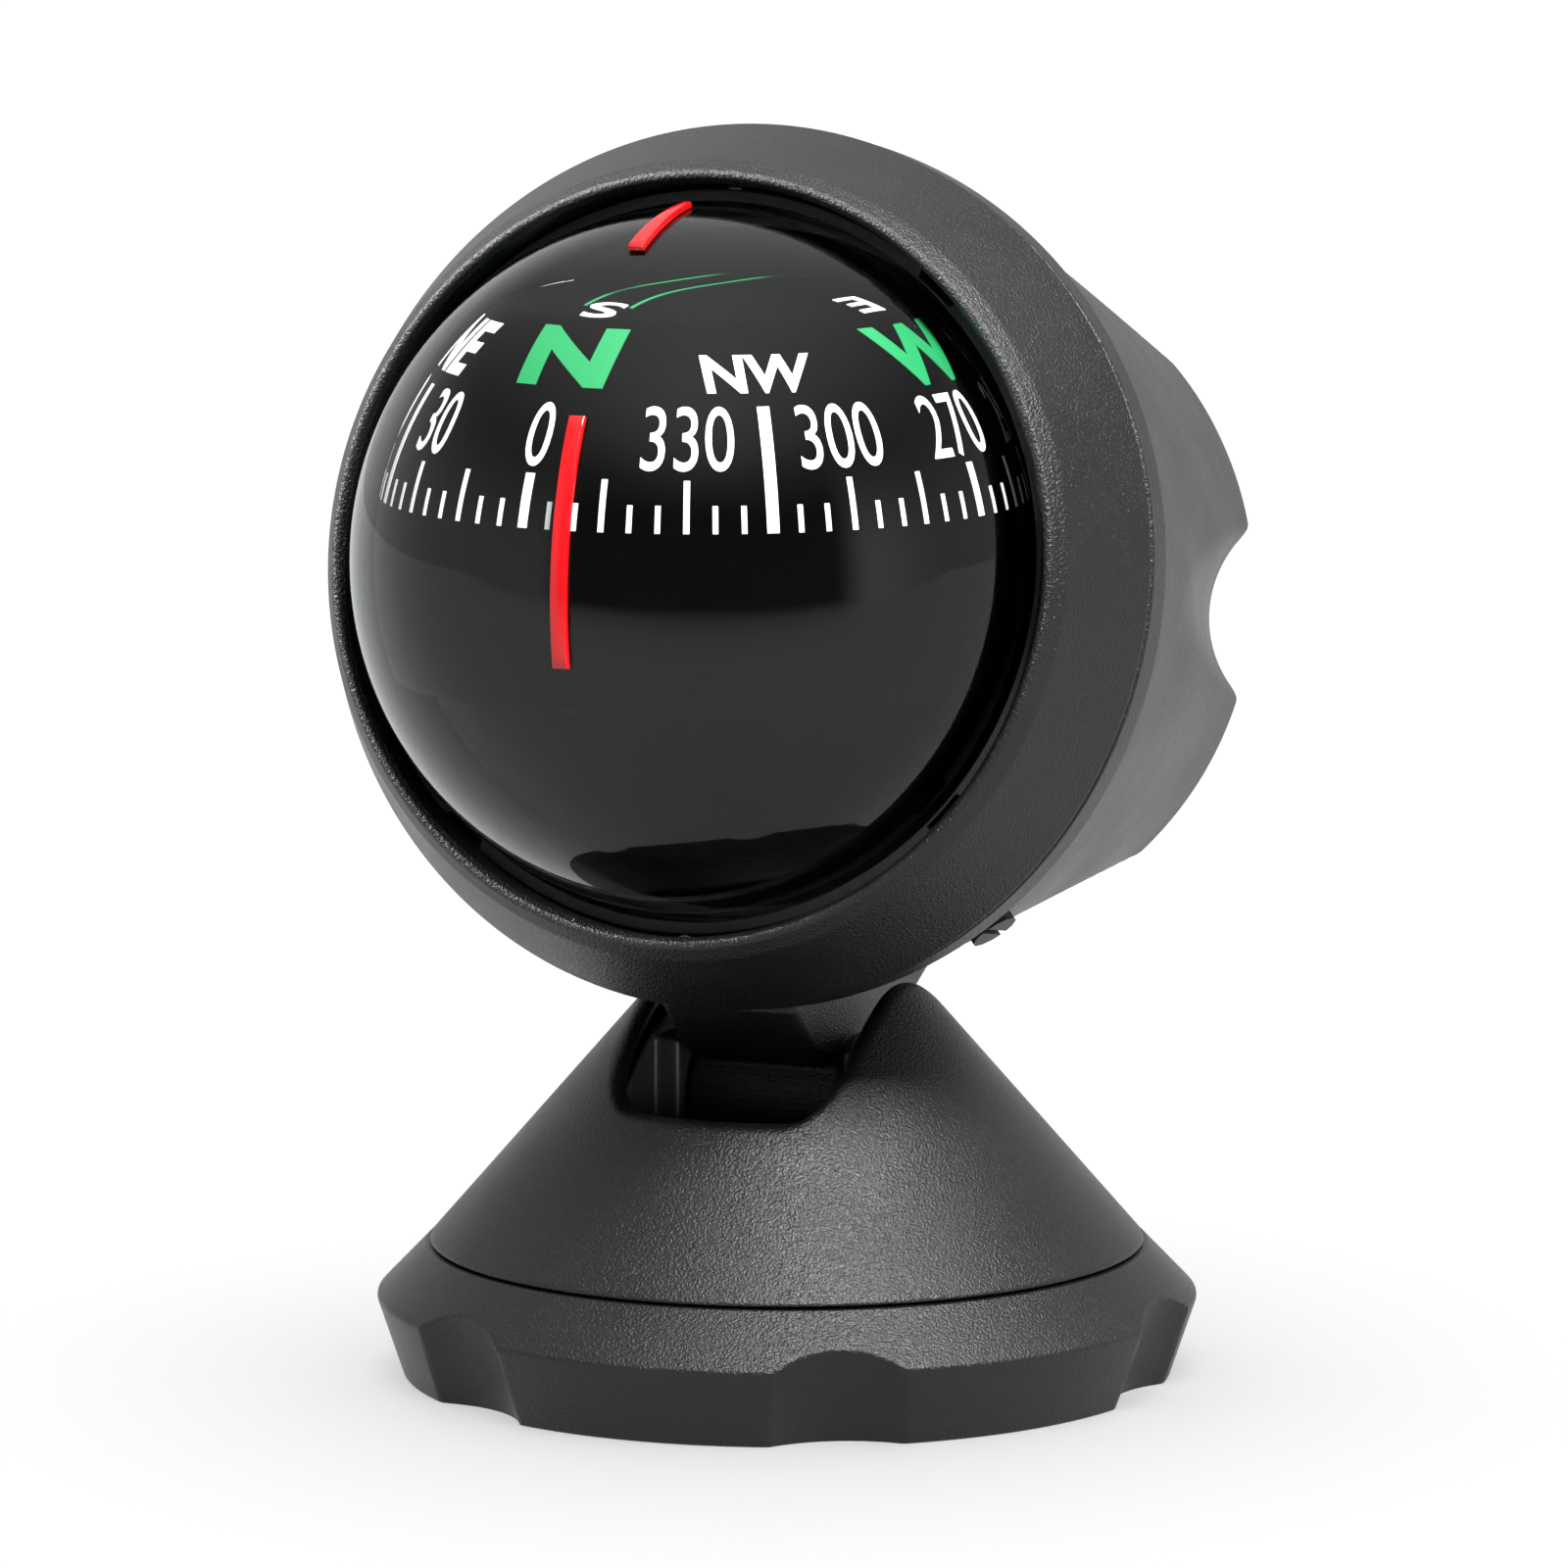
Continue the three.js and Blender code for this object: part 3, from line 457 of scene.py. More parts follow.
def plastic(name, tint, roughness, grain, depth, variation=0.25, specular=0.5):
    """Moulded plastic: a grained surface whose colour and gloss drift slightly."""
    material, tree, shader = new_material(name)
    shader.inputs["Specular IOR Level"].default_value = specular
    drifting(tree, shader, 120, tint, (1 - variation, 1 + variation), (roughness - 0.04, roughness + 0.05))
    if grain:
        fine = noise(tree, 1 / (grain * MM), 2, 0.6)
        bump = tree.nodes.new("ShaderNodeBump")
        set_inputs(bump, {"Strength": 1.0, "Distance": depth * MM})
        tree.links.new(fine.outputs["Fac"], bump.inputs["Height"])
        tree.links.new(bump.outputs["Normal"], shader.inputs["Normal"])
    return material


def clear_dome(name, mirrored):
    """Thin clear acrylic. The mirrored side reflects more at grazing angles; the other is plain clear."""
    material = bpy.data.materials.new(name)
    tree = empty_tree(material)
    output = tree.nodes.new("ShaderNodeOutputMaterial")
    through = tree.nodes.new("ShaderNodeBsdfTransparent")
    through.inputs["Color"].default_value = (0.985, 0.99, 0.985, 1)
    if not mirrored:
        tree.links.new(through.outputs[0], output.inputs["Surface"])
        return material
    mirror = tree.nodes.new("ShaderNodeBsdfGlossy")
    set_inputs(mirror, {"Roughness": 0.035, "Color": (0.90, 0.93, 0.905, 1)})
    edge = tree.nodes.new("ShaderNodeLayerWeight")
    edge.inputs["Blend"].default_value = 0.5
    facing_share = 0.032
    steep = maths(tree, "POWER", edge.outputs["Facing"], 5)
    share = maths(tree, "MULTIPLY_ADD", steep, 1 - facing_share, facing_share)
    mix = tree.nodes.new("ShaderNodeMixShader")
    tree.links.new(share, mix.inputs[0])
    tree.links.new(through.outputs[0], mix.inputs[1])
    tree.links.new(mirror.outputs[0], mix.inputs[2])
    tree.links.new(mix.outputs[0], output.inputs["Surface"])
    return material


def metal(name, tint, roughness):
    material, tree, shader = new_material(name)
    drifting(tree, shader, 900, tint, (0.85, 1.1), (roughness - 0.08, roughness + 0.08))
    shader.inputs["Metallic"].default_value = 1.0
    return material


# What makes each material, and its settings.
LOOKS = {
    "case_black": (plastic, (0.0042, 0.0042, 0.0044), 0.38, 0.17, 0.10, 0.25, 0.42),
    # inner_black's tint is lifted above case_black's as painted fill light, so the shaded parts inside the slot
    # and the head show grey
    "inner_black": (plastic, (0.012, 0.012, 0.012), 0.45, 0.3, 0.02, 0.25, 0.35),
    "card_black": (plastic, (0.0011, 0.0013, 0.0011), 0.6, 0, 0, 0.25, 0.03),
    "print_white": (plastic, (0.93, 0.93, 0.93), 0.5, 0.25, 0.01, 0.03),
    "print_green": (plastic, (0.0085, 0.255, 0.080), 0.5, 0.25, 0.01, 0.06),
    "lubber_red": (plastic, (0.50, 0.004, 0.006), 0.2, 0.5, 0.01, 0.06),
    "foam": (plastic, (0.02, 0.02, 0.02), 0.9, 0.3, 0.1),
    "rubber": (plastic, (0.015, 0.015, 0.015), 0.7, 0.2, 0.03),
    "nylon": (plastic, (0.75, 0.74, 0.70), 0.4, 0.4, 0.01, 0.05),
    "steel": (metal, (0.6, 0.61, 0.62), 0.3),
    "brass": (metal, (0.76, 0.6, 0.29), 0.3),
    "magnet": (metal, (0.03, 0.03, 0.031), 0.5),
    "black_steel": (metal, (0.02, 0.02, 0.021), 0.5),
    "black_brass": (metal, (0.02, 0.017, 0.012), 0.6),
    "jewel": (plastic, (0.5, 0.03, 0.09), 0.1, 0, 0, 0.05),
    "dome_clear": (clear_dome, True),
    "dome_inside": (clear_dome, False),
}
MATERIALS = {name: maker(name, *settings) for name, (maker, *settings) in LOOKS.items()}

SLOT_OF = {part["node"]: part["material_slot"] for part in frame["record"]["subparts"]}
for name, obj in frame["nodes"].items():
    obj.data.materials.clear()
    obj.data.materials.append(MATERIALS[SLOT_OF[name]])


def row_piece(name, points, faces, body, slot, node_name):
    """A piece that replaces one node, in the material named after its slot."""
    return piece(name, points, faces, body, MATERIALS[slot], [node_name])


def head_piece(name, points, faces, slot, node_name):
    return row_piece(name, head_to_row(points), faces, "head", slot, node_name)


# ---------------------------- stand

def base_ring():
    b = BASE
    outer = outline([
        (b.pad, 0, 0),
        (b.foot, 0, 0.2),
        (BASE_RADIUS, b.rim_height, 0.35),
        (b.top, BASE_TOP, 0.12),
        (b.well, BASE_TOP, 0.05),
        (b.well, b.floor, 0.2),
    ], step=0.22, support=0.05)
    inner = outline([
        (b.well, b.floor, 0),
        (b.boss, b.floor, 0.2),
        (b.boss, b.boss_top, 0.2),
        (b.bore, b.boss_top, 0.1),
        (b.bore, b.seat_top, 0.1),
        (b.seat, b.seat_top, 0.1),
        (b.seat, b.under, 0.1),
        (b.pad, b.under, 0.1),
        (b.pad, 0, 0),
    ], step=4.0)

    def limit(angle, radius, height):
        if radius < b.well - 0.05 and height > 0.01 or radius < b.pad + 0.1:
            return np.full(len(angle), radius)
        cut = scallop_limit(angle, height, BASE_SCALLOP)
        return smooth_min(np.full(len(angle), radius), cut, BASE_SCALLOP.blend)

    points, faces = turned(outer + inner[1:-1], 516, True, limit)
    row_piece("base_ring_shell", points, faces, "base", "case_black", "base_ring")


def cone_plane(r, z):
    return (CONE.slope * r + z - CONE.apex) / math.hypot(CONE.slope, 1)


def roof_field(y, z, radius):
    """Distance above the rounded roof that the head's underside sweeps over."""
    up = z - HINGE[2]
    limit = math.radians(ROOF.angle)
    lean = np.arctan2(np.abs(y), up)
    side = np.abs(y) * math.sin(limit) + up * math.cos(limit)
    return np.where(lean < limit, np.hypot(y, up), side) - radius


def cone_field(p):
    x, y, z = p.T
    r = np.hypot(x, y)
    low = np.minimum(CONE.low - z, r - CONE.skirt)
    roof = roof_field(y, z, ROOF.radius + CONE.roof_gap)
    body = smooth_max(cone_plane(r, z), roof, CONE.roof_blend)
    body = smooth_max(body, low, CONE.low_blend)
    body = np.maximum(body, CONE.skirt_low - z)
    hollow = np.maximum(r - CONE.skirt_in, cone_plane(r + CONE.wall, z))
    body = np.maximum(body, -hollow)
    side = np.abs(x) - (SLOT.half - SLOT.corner)
    sill = SLOT.sill + SLOT.corner - z
    window = np.hypot(np.maximum(side, 0), np.maximum(sill, 0)) + np.minimum(np.maximum(side, sill), 0)
    window -= SLOT.corner
    rise = np.clip((z - SLOT.sill - SLOT.mouth_start) / SLOT.mouth_rise, 0, 1)
    return smooth_max(body, -window, SLOT.edge_blend + SLOT.mouth_blend * rise)


def pedestal_cone():
    step = 0.25
    axes = [
        np.linspace(0, 2 * math.pi, 420, endpoint=False),
        np.arange(2.0, 22.6, step),
        np.arange(CONE.skirt_low - 0.35, 25.2, step),
    ]

    def to_space(q):
        return np.column_stack([q[:, 1] * np.cos(q[:, 0]), q[:, 1] * np.sin(q[:, 0]), q[:, 2]])

    points, faces = surface_net(cone_field, axes, to_space, wrap=True)
    row_piece("cone_shell", points, faces, "pedestal", "case_black", "pedestal_cone")


def polygon_field(points, corners):
    """Signed distance in a plane to a closed polygon, negative inside."""
    best = np.full(len(points), 1e9)
    inside = np.zeros(len(points), bool)
    for i, a in enumerate(corners):
        a, b = np.array(a, float), np.array(corners[i - 1], float)
        edge, rel = b - a, points - a
        t = np.clip((rel @ edge) / (edge @ edge), 0, 1)
        best = np.minimum(best, np.linalg.norm(rel - t[:, None] * edge, axis=1))
        crosses = (a[1] > points[:, 1]) != (b[1] > points[:, 1])
        with np.errstate(divide="ignore", invalid="ignore"):
            reach = (b[0] - a[0]) * (points[:, 1] - a[1]) / (b[1] - a[1]) + a[0]
        inside ^= crosses & (points[:, 0] < reach)
    return np.where(inside, -best, best)


def housing_field(p):
    """Roughly the distance outside the round housing, with the clearance the neck keeps."""
    h, gap = HOUSING, NECK.housing_gap
    rel = p - CENTRE
    depth = rel @ FORWARD
    radius = np.hypot(rel @ RIGHT, rel @ UP)
    wall = np.interp(depth, [h.back, h.shoulder_depth], [h.back_radius, h.shoulder])
    wall = np.where(depth < h.shoulder_depth - gap, wall, h.flange)
    return np.maximum(radius - wall - gap, h.back - gap - depth)


def neck_field(p):
    """The neck's arm, with the ribbed hinge barrel at its foot."""
    n = NECK
    side, y, z = np.abs(p[:, 0]), p[:, 1], p[:, 2] - HINGE[2]
    arm = smooth_max(polygon_field(np.column_stack([y, z]), NECK_SIDE), side - n.half, n.arm_blend)
    out = np.hypot(y, z)
    around = np.degrees(np.arctan2(z, -y))
    wave = 0.5 + 0.5 * np.cos(2 * math.pi * np.radians(around) * n.barrel / n.ridge)
    ribbed = np.clip((n.ridge_reach - np.abs(around - n.ridge_middle)) / n.ridge_fade, 0, 1)
    ribs = ribbed * n.ridge_deep * wave
    barrel = smooth_max(out - n.barrel + ribs, side - n.barrel_half, n.barrel_blend)
    body = smooth_min(arm, barrel, n.arm_blend)
    body = np.maximum(body, -housing_field(p))
    body = np.maximum(body, n.bore - out)
    pocket = np.maximum(out - n.pocket, n.barrel_half - n.pocket_deep - side)
    return np.maximum(body, -pocket)


def neck():
    coarse, fine = 0.3, 0.1
    axes = [
        np.arange(-5.3, 5.5, coarse),
        np.arange(-9.8, 13.5, fine),
        np.arange(-4.3, 12.4, fine) + HINGE[2],
    ]
    points, faces = surface_net(neck_field, axes, lambda q: q)
    row_piece("neck_arm", points, faces, "head", "case_black", "neck_bracket")


def box_field(x, y, z, low, high, rounding):
    """Signed distance to a box with rounded edges."""
    q = [np.maximum(a - v, v - b) + rounding for v, a, b in zip((x, y, z), low, high)]
    outside = np.sqrt(sum(np.maximum(v, 0) ** 2 for v in q))
    return outside + np.minimum(np.maximum(np.maximum(q[0], q[1]), q[2]), 0) - rounding


def yoke_field(p):
    """The hinge block: a plate and hub, two walls under the cone's roof and a cheek on each wall."""
    k = YOKE
    x, y, z = p.T
    r = np.hypot(x, y)
    side, front = np.abs(x), np.abs(y)
    base = k.plate_low + k.cheek_sink
    beyond = 40
    wall_low = (k.wall_in, -beyond, base)
    wall_high = (k.wall_out, k.wall_reach, beyond)
    walls = box_field(side, front, z, wall_low, wall_high, k.wall_round)
    walls = np.maximum(walls, cone_plane(r + CONE.wall + k.cone_gap, z))
    walls = np.maximum(walls, roof_field(y, z, ROOF.radius - k.roof_gap))
    cheek_low = (k.cheek_in, -beyond, base)
    cheek_high = (k.wall_in + k.cheek_sink, k.cheek_reach, k.cheek_top)
    cheeks = box_field(side, front, z, cheek_low, cheek_high, k.cheek_round)
    plate = np.maximum(r - k.plate, np.maximum(k.plate_low - z, z - k.plate_high))
    hub = np.maximum(r - k.hub, np.maximum(k.hub_low - z, z - base))
    body = np.minimum(smooth_min(walls, cheeks, k.wall_round), np.minimum(plate, hub))
    body = np.maximum(body, k.pin - np.hypot(y, z - HINGE[2]))
    body = np.maximum(body, -np.maximum(r - k.bore, z - k.bore_top))
    return np.maximum(body, k.screw - np.hypot(side - k.screw_x, y))


def yoke():
    step = 0.25
    across = np.arange(-14.9, 15.1, step)
    axes = [across, across, np.arange(5.6, 23.6, step)]
    points, faces = surface_net(yoke_field, axes, lambda q: q)
    row_piece("yoke_block", points, faces, "pedestal", "inner_black", "hinge_yoke")


# ---------------------------- head

def front_bezel():
    b = BEZEL
    profile = outline([
        (b.bore, b.back, 0.1),
        (b.rim - 0.35, b.back, 0.12),
        (b.rim, b.rim_depth, 0.25),
        (b.lip, b.lip_depth, 1.2),
        (b.lip - 0.75, b.front, 0.5),
        (b.throat + 0.3, b.front, 0.3),
        (b.throat, b.throat_front, 0.2),
        (b.throat, b.throat_back, 0.1),
        (b.bore - 0.25, b.throat_back, 0.1),
    ], closed=True, step=0.6, support=0.08)
    points, faces = turned(profile, 288, True)
    head_piece("bezel_shell", points, faces, "case_black", "front_bezel")


def rear_housing():
    h = HOUSING
    vent, fillet, back_radius = h.vent, h.back_fillet, h.back_radius
    skin = 1e-3
    wall = outline([
        (h.back_radius, h.back, 0),
        (h.shoulder, h.shoulder_depth, 0.12),
        (h.flange, h.shoulder_depth + 0.15, 0.15),
        (h.flange, h.front, 0.2),
        (BEZEL.bore, h.front, 0),
    ], step=0.5, support=0.08)
    inner = outline([
        (BEZEL.bore, h.front, 0),
        (BEZEL.bore, h.ledge, 0.1),
        (h.ledge_radius, h.ledge, 0.1),
        (h.ledge_radius, h.ledge_back, 0.1),
        (h.chamber, h.ledge_back - 0.4, 0.1),
        (h.chamber, h.chamber_turn, 0.5),
        (h.chamber_back_radius, h.chamber_back, 0.5),
        (h.vent, h.chamber_back, 0),
    ], step=4.0, support=0.08)
    wall = [p for p in wall if p[1] > h.back + fillet + 0.05]
    bend = [math.radians(a) for a in range(90, -1, -10)]
    edge = [(back_radius + (1 - math.cos(a)) * skin, h.back + fillet * (1 - math.sin(a))) for a in bend]
    cap = [(vent, h.back + 0.06), (vent, h.back - skin), (vent + 0.06, h.back - skin)]
    shares = np.linspace(0, 0.97, 16)[1:]
    cap += [(vent + (back_radius - vent) * share, h.back - skin) for share in shares]

    inside = set(inner)

    def scalloped(angle, radius, height):
        cut = scallop_limit(angle, height, HOUSING_SCALLOP)
        return smooth_min(np.full(len(angle), radius), cut, HOUSING_SCALLOP.blend)

    def limit(angle, radius, height):
        if height < h.back:
            rim = scalloped(angle, back_radius, h.back)
            return vent + (rim - fillet - vent) * (radius - vent) / (back_radius - vent)
        if radius < vent + 0.1 or (radius, height) in inside:
            return np.full(len(angle), radius)
        met = scalloped(angle, radius, height)
        if height < h.back + fillet:
            rise = min(1.0, (h.back + fillet - height) / fillet)
            met = met - fillet * (1 - math.sqrt(max(0.0, 1 - rise ** 2)))
        return met

    points, faces = turned(cap + edge + wall + inner[1:], 480, True, limit)
    head_piece("housing_shell", points, faces, "case_black", "rear_housing")


def retaining_ring():
    g = RING
    profile = outline([
        (g.bore, g.back, 0.08),
        (g.flange, g.back, 0.08),
        (g.flange, g.flange_front, 0.08),
        (g.sleeve, g.flange_front, 0.08),
        (g.sleeve, g.front, 0.12),
        (g.bore, g.front, 0.12),
    ], closed=True, step=0.6, support=0.05)

    def limit(angle, radius, height):
        if radius < g.sleeve - 0.3 or height < g.snap_low:
            return np.full(len(angle), radius)
        turn = (np.degrees(angle) - g.snap + 45) % 90 - 45
        return np.where(np.abs(turn) < g.snap_half, g.bore + g.snap_wall, radius)

    points, faces = turned(profile, 720, True, limit)
    head_piece("dome_ring", points, faces, "inner_black", "retaining_ring")


def dome():
    d = DOME
    skirt = outline([
        (d.outer, 0, 0),
        (d.outer, d.flange_front, 0.15),
        (d.flange, d.flange_front, 0.1),
        (d.flange, d.flange_back, 0.1),
        (d.inner, d.flange_back, 0.1),
        (d.inner, 0, 0),
    ], step=1.0)
    outer = arc(d.outer, 90, 0, 48)
    inner = arc(d.inner, 0, 90, 48)
    profile = [(0, d.outer)] + outer[1:-1] + skirt + inner[1:-1] + [(0, d.inner)]
    points, faces = turned(profile, 192, False)
    made = head_piece("dome_glass", points, faces, "dome_clear", "dome_lens")
    made.data.materials.append(MATERIALS["dome_inside"])
    reach = (d.outer + d.inner) / 2
    for face in made.data.polygons:
        if np.linalg.norm(np.array(face.center) / MM - CENTRE) < reach:
            face.material_index = 1


def lubber(name, latitudes, node_name, offset=0.0, tip=1.0):
    """A raised strip bent over the dome, with rounded edges and ends, narrowing to a share of its width."""
    start, end = latitudes
    half, low, high, bevel = LUBBER.half, LUBBER.inner, LUBBER.outer, LUBBER.bevel
    nick = bevel * 0.3
    right = [(half, low), (half, high - bevel), (half - nick, high - nick), (half - bevel, high)]
    section = [(-half, low)] + right + [(-x, radius) for x, radius in reversed(right[1:])]
    steps = 40
    points, faces = [], []
    for k in range(steps + 1):
        a = math.radians(start + (end - start) * k / steps)
        pinch = bevel if k in (0, steps) else 0.0
        narrow = 1 - (1 - tip) * (k / steps) ** 2
        for x, radius in section:
            reach = min(radius, high - pinch)
            points.append((x * narrow + offset, reach * math.sin(a), reach * math.cos(a)))
    n = len(section)
    for k in range(steps):
        for i in range(n):
            j = (i + 1) % n
            faces.append((k * n + i, k * n + j, (k + 1) * n + j, (k + 1) * n + i))
    faces.append(tuple(range(n)))
    faces.append(tuple(steps * n + i for i in reversed(range(n))))
    made = head_piece(name, points, faces, "lubber_red", node_name)
    made.data.set_sharp_from_angle(angle=SHARP)


# ---------------------------- card

def crown_height(radius):
    """The bowed top of the card."""
    return CARD.crown_middle - (radius / CARD.crown_bow) ** 4


def on_ball(latitude, longitude, lift):
    """A point above the card's surface. Longitude is in degrees to the reader's right of the zero mark."""
    reach = CARD.radius + lift
    a, b = np.radians(latitude), np.radians(longitude - 90)
    return np.column_stack([reach * np.cos(a) * np.cos(b), reach * np.cos(a) * np.sin(b), reach * np.sin(a)])


def card_shell():
    """The card's ball: a bowed crown, a rounded shoulder and a wall down to the skirt."""
    c = CARD
    shoulder = c.radius * math.cos(math.radians(c.crown_latitude))
    crown = [(r, crown_height(r), 0) for r in np.linspace(0, shoulder, 12)]
    crown[-1] = crown[-1][:2] + (c.shoulder_fillet,)
    ball = unfilleted(arc(c.radius, c.crown_latitude - 1, c.skirt, 48))
    inside = unfilleted(arc(c.radius - c.wall, c.skirt, c.crown_latitude - 1, 30))
    under = [(r, crown_height(r) - c.wall, 0) for r in np.linspace(c.under_radius, 0, 8)]
    profile = outline(crown + ball + inside + under, step=2.0, support=0.3)
    points, faces = turned(profile, 192, False)
    row_piece("card_ball", card_to_row(points), faces, "card", "card_black", "compass_card")


def pivot_cup():
    """The level cup under the card, with the flat arm below it that holds the pivot."""
    c = CUP
    outer = unfilleted(arc(c.outer, -90, c.rim, 40))
    inner = unfilleted(arc(c.inner, c.rim, -90, 40))
    outer[0] = (0, -c.outer, 0)
    inner[-1] = (0, -c.inner, 0)
    points, faces = turned(outline(outer + inner, step=2.0, support=0.1), 192, False)
    solids = Solids()
    solids.add(CENTRE + points, faces)
    half = c.arm_half
    solids.prism(head_to_row, [[(x, -below, forward) for below, forward in ARM_SIDE] for x in (-half, half)])
    solids.make("pivot_cup", "head", "card_black", ["pivot_arm"])


def card_frame():
    """Webs, hub and the plate on legs that hold the card on its bearing."""
    w = WEB
    side = [
        (w.start, w.low),
        (w.rise[0], w.low),
        (w.rise[1], w.high),
        (w.end, w.high),
        (w.end, w.high + w.thick),
        (w.rise[1] - w.miter, w.high + w.thick),
        (w.rise[0] - w.miter, w.low + w.thick),
        (w.start, w.low + w.thick),
    ]
    solids = Solids()
    for quarter in range(4):
        def spin(points):
            return card_to_row(spun(points, 90 * quarter))

        solids.prism(spin, [[(x, y, z) for x, z in side] for y in (-w.half, w.half)])
        place, half = LEG.place, LEG.half
        height = (LEG.low, w.low + LEG.overlap)
        solids.box(spin, (place - half, place + half), (-half, half), height)
    hub = (*HUB.radii, HUB.low, w.low + w.thick)
    plate = (*MAGNET_PLATE.radii, MAGNET_PLATE.low, MAGNET_PLATE.high)
    for inner, outer, bottom, top in (hub, plate):
        corners = [(inner, bottom, 0.1), (outer, bottom, 0.1), (outer, top, 0.1), (inner, top, 0.1)]
        points, faces = turned(outline(corners, closed=True, step=2.0, support=0.1), 72, True)
        solids.add(card_to_row(points), faces)
    solids.make("card_frame", "card", "card_black")


class Solids:
    """Collects closed solids, in the row frame, that make one piece."""

    def __init__(self):
        self.points = []
        self.faces = []

    def add(self, points, faces):
        start = len(self.points)
        self.points += [tuple(p) for p in points]
        self.faces += [tuple(i + start for i in f) for f in faces]

    def slab(self, path, half, place):
        """A strip of ink of constant width along path, with place(along, across, lift) giving its points."""
        section = ((-half, SINK), (half, SINK), (half, INK), (-half, INK))
        rows = np.array([(along, across, lift) for along in path for across, lift in section])
        faces = [(0, 1, 2, 3)]
        for k in range(len(path) - 1):
            for i in range(4):
                j = (i + 1) % 4
                faces.append((4 * k + i, 4 * k + 4 + i, 4 * k + 4 + j, 4 * k + j))
        last = 4 * (len(path) - 1)
        faces.append((last + 3, last + 2, last + 1, last))
        self.add(card_to_row(place(rows[:, 0], rows[:, 1], rows[:, 2])), faces)

    def box(self, place, x, y, z):
        """A block between three (low, high) pairs, put in position by place."""
        corners = [(a, b, c) for a in x for b in y for c in z]
        faces = [(0, 1, 3, 2), (4, 6, 7, 5), (0, 4, 5, 1), (2, 3, 7, 6), (0, 2, 6, 4), (1, 5, 7, 3)]
        self.add(place(corners), faces)

    def prism(self, place, ends):
        """A solid between two like outlines, put in position by place."""
        count = len(ends[0])
        sides = [(i, (i + 1) % count, (i + 1) % count + count, i + count) for i in range(count)]
        caps = [tuple(range(count)), tuple(range(2 * count - 1, count - 1, -1))]
        self.add(place(ends[0] + ends[1]), sides + caps)

    def make(self, name, body, material, replaces=()):
        made = piece(name, self.points, self.faces, body, MATERIALS[material], replaces)
        made.data.set_sharp_from_angle(angle=SHARP)


# The ink's top and underside, from the card's surface.
INK, SINK = 0.035, -0.05
# Latitudes of the scale's rows of ticks, figures and letters.
ROWS = Sizes(
    foot=11.8, small=16.5, middle=21.2, tall=34.0, digits=(22.4, 34.1), white=(36.6, 44.4),
    limb=(36.8, 48.6), green=(37.2, 49.9), west=(35.9, 48.9),
)
TICK_HALF = Sizes(quarter=0.31, eighth=0.36, middle=0.18, small=0.16)
FIGURE_PITCH, FIGURE_GAP = 1.85, 0.25
# Text, heading, width and row. NE and W are shifted or resized as the liquid in a real dome makes them look.
HALF_WINDS = [
    ("NE", 45, 6.4, ROWS.limb), ("SE", 135, 5.0, ROWS.white),
    ("SW", 225, 6.4, ROWS.white), ("NW", 315, 6.4, ROWS.white),
]
WINDS = [
    ("N", 0, 6.1, ROWS.green), ("E", 90, 4.6, ROWS.green),
    ("S", 180, 4.8, ROWS.green), ("W", 266.5, 8.0, ROWS.west),
]
CROWN_LETTER = Sizes(radius=10.8, tall=2.2, wide=2.4, bold=0.015)
CROWN_LINE = Sizes(side=1.6, half=0.115, ends=(-10.3, 9.2))


def tick(ink, heading, top, half):
    def place(latitude, across, lift):
        turn = np.degrees(across / (CARD.radius * np.cos(np.radians(latitude))))
        return on_ball(latitude, -heading + turn, lift)

    foot = ROWS.foot
    ink.slab(np.linspace(foot, top, max(3, int((top - foot) / 1.5))), half, place)


def flat_text(text, bold):
    """Flat letters as a thin slab, centred, one unit tall."""
    curve = bpy.data.curves.new("letters", "FONT")
    curve.body = text
    curve.align_x = "CENTER"
    curve.offset = bold
    curve.resolution_u = 6
    curve.extrude = 0.5
    holder = new_object("letters", curve)
    bpy.context.view_layer.update()
    shown = holder.evaluated_get(bpy.context.evaluated_depsgraph_get())
    mesh = bpy.data.meshes.new_from_object(shown)
    bpy.data.objects.remove(holder)
    bpy.data.curves.remove(curve)
    made = bmesh.new()
    made.from_mesh(mesh)
    bpy.data.meshes.remove(mesh)
    bmesh.ops.remove_doubles(made, verts=made.verts, dist=1e-5)
    co = np.array([v.co for v in made.verts])
    low, high = co.min(0), co.max(0)
    for v in made.verts:
        v.co.x = (v.co.x - (low[0] + high[0]) / 2) / (high[1] - low[1])
        v.co.y = (v.co.y - (low[1] + high[1]) / 2) / (high[1] - low[1])
    return made


def letters(ink, text, tall, wide, place, bold=0.0, spread=0.0):
    """Letters tall by wide, cut fine enough to bend, then put on the card by place(x, y, lift).

    bold thickens the strokes, and spread widens the top and narrows the foot.
    """
    made = flat_text(text, bold)
    co = np.array([v.co for v in made.verts])
    stretch = wide / (co[:, 0].max() - co[:, 0].min())
    for v in made.verts:
        v.co.x *= stretch
        v.co.y *= tall
    pitch, offset = 0.225, 0.01
    for normal, size in ((Vector((1, 0, 0)), wide), (Vector((0, 1, 0)), tall)):
        reach = int(size / 2 / pitch)
        for k in range(-reach, reach + 1):
            geometry = made.verts[:] + made.edges[:] + made.faces[:]
            spot = normal * (k * pitch + offset)
            bmesh.ops.bisect_plane(made, geom=geometry, plane_co=spot, plane_no=normal)
    made.verts.ensure_lookup_table()
    co = np.array([v.co for v in made.verts])
    faces = [tuple(v.index for v in f.verts) for f in made.faces]
    made.free()
    x = co[:, 0] * (1 + spread * co[:, 1] / tall)
    ink.add(card_to_row(place(x, co[:, 1], np.where(co[:, 2] > 0, INK, SINK))), faces)


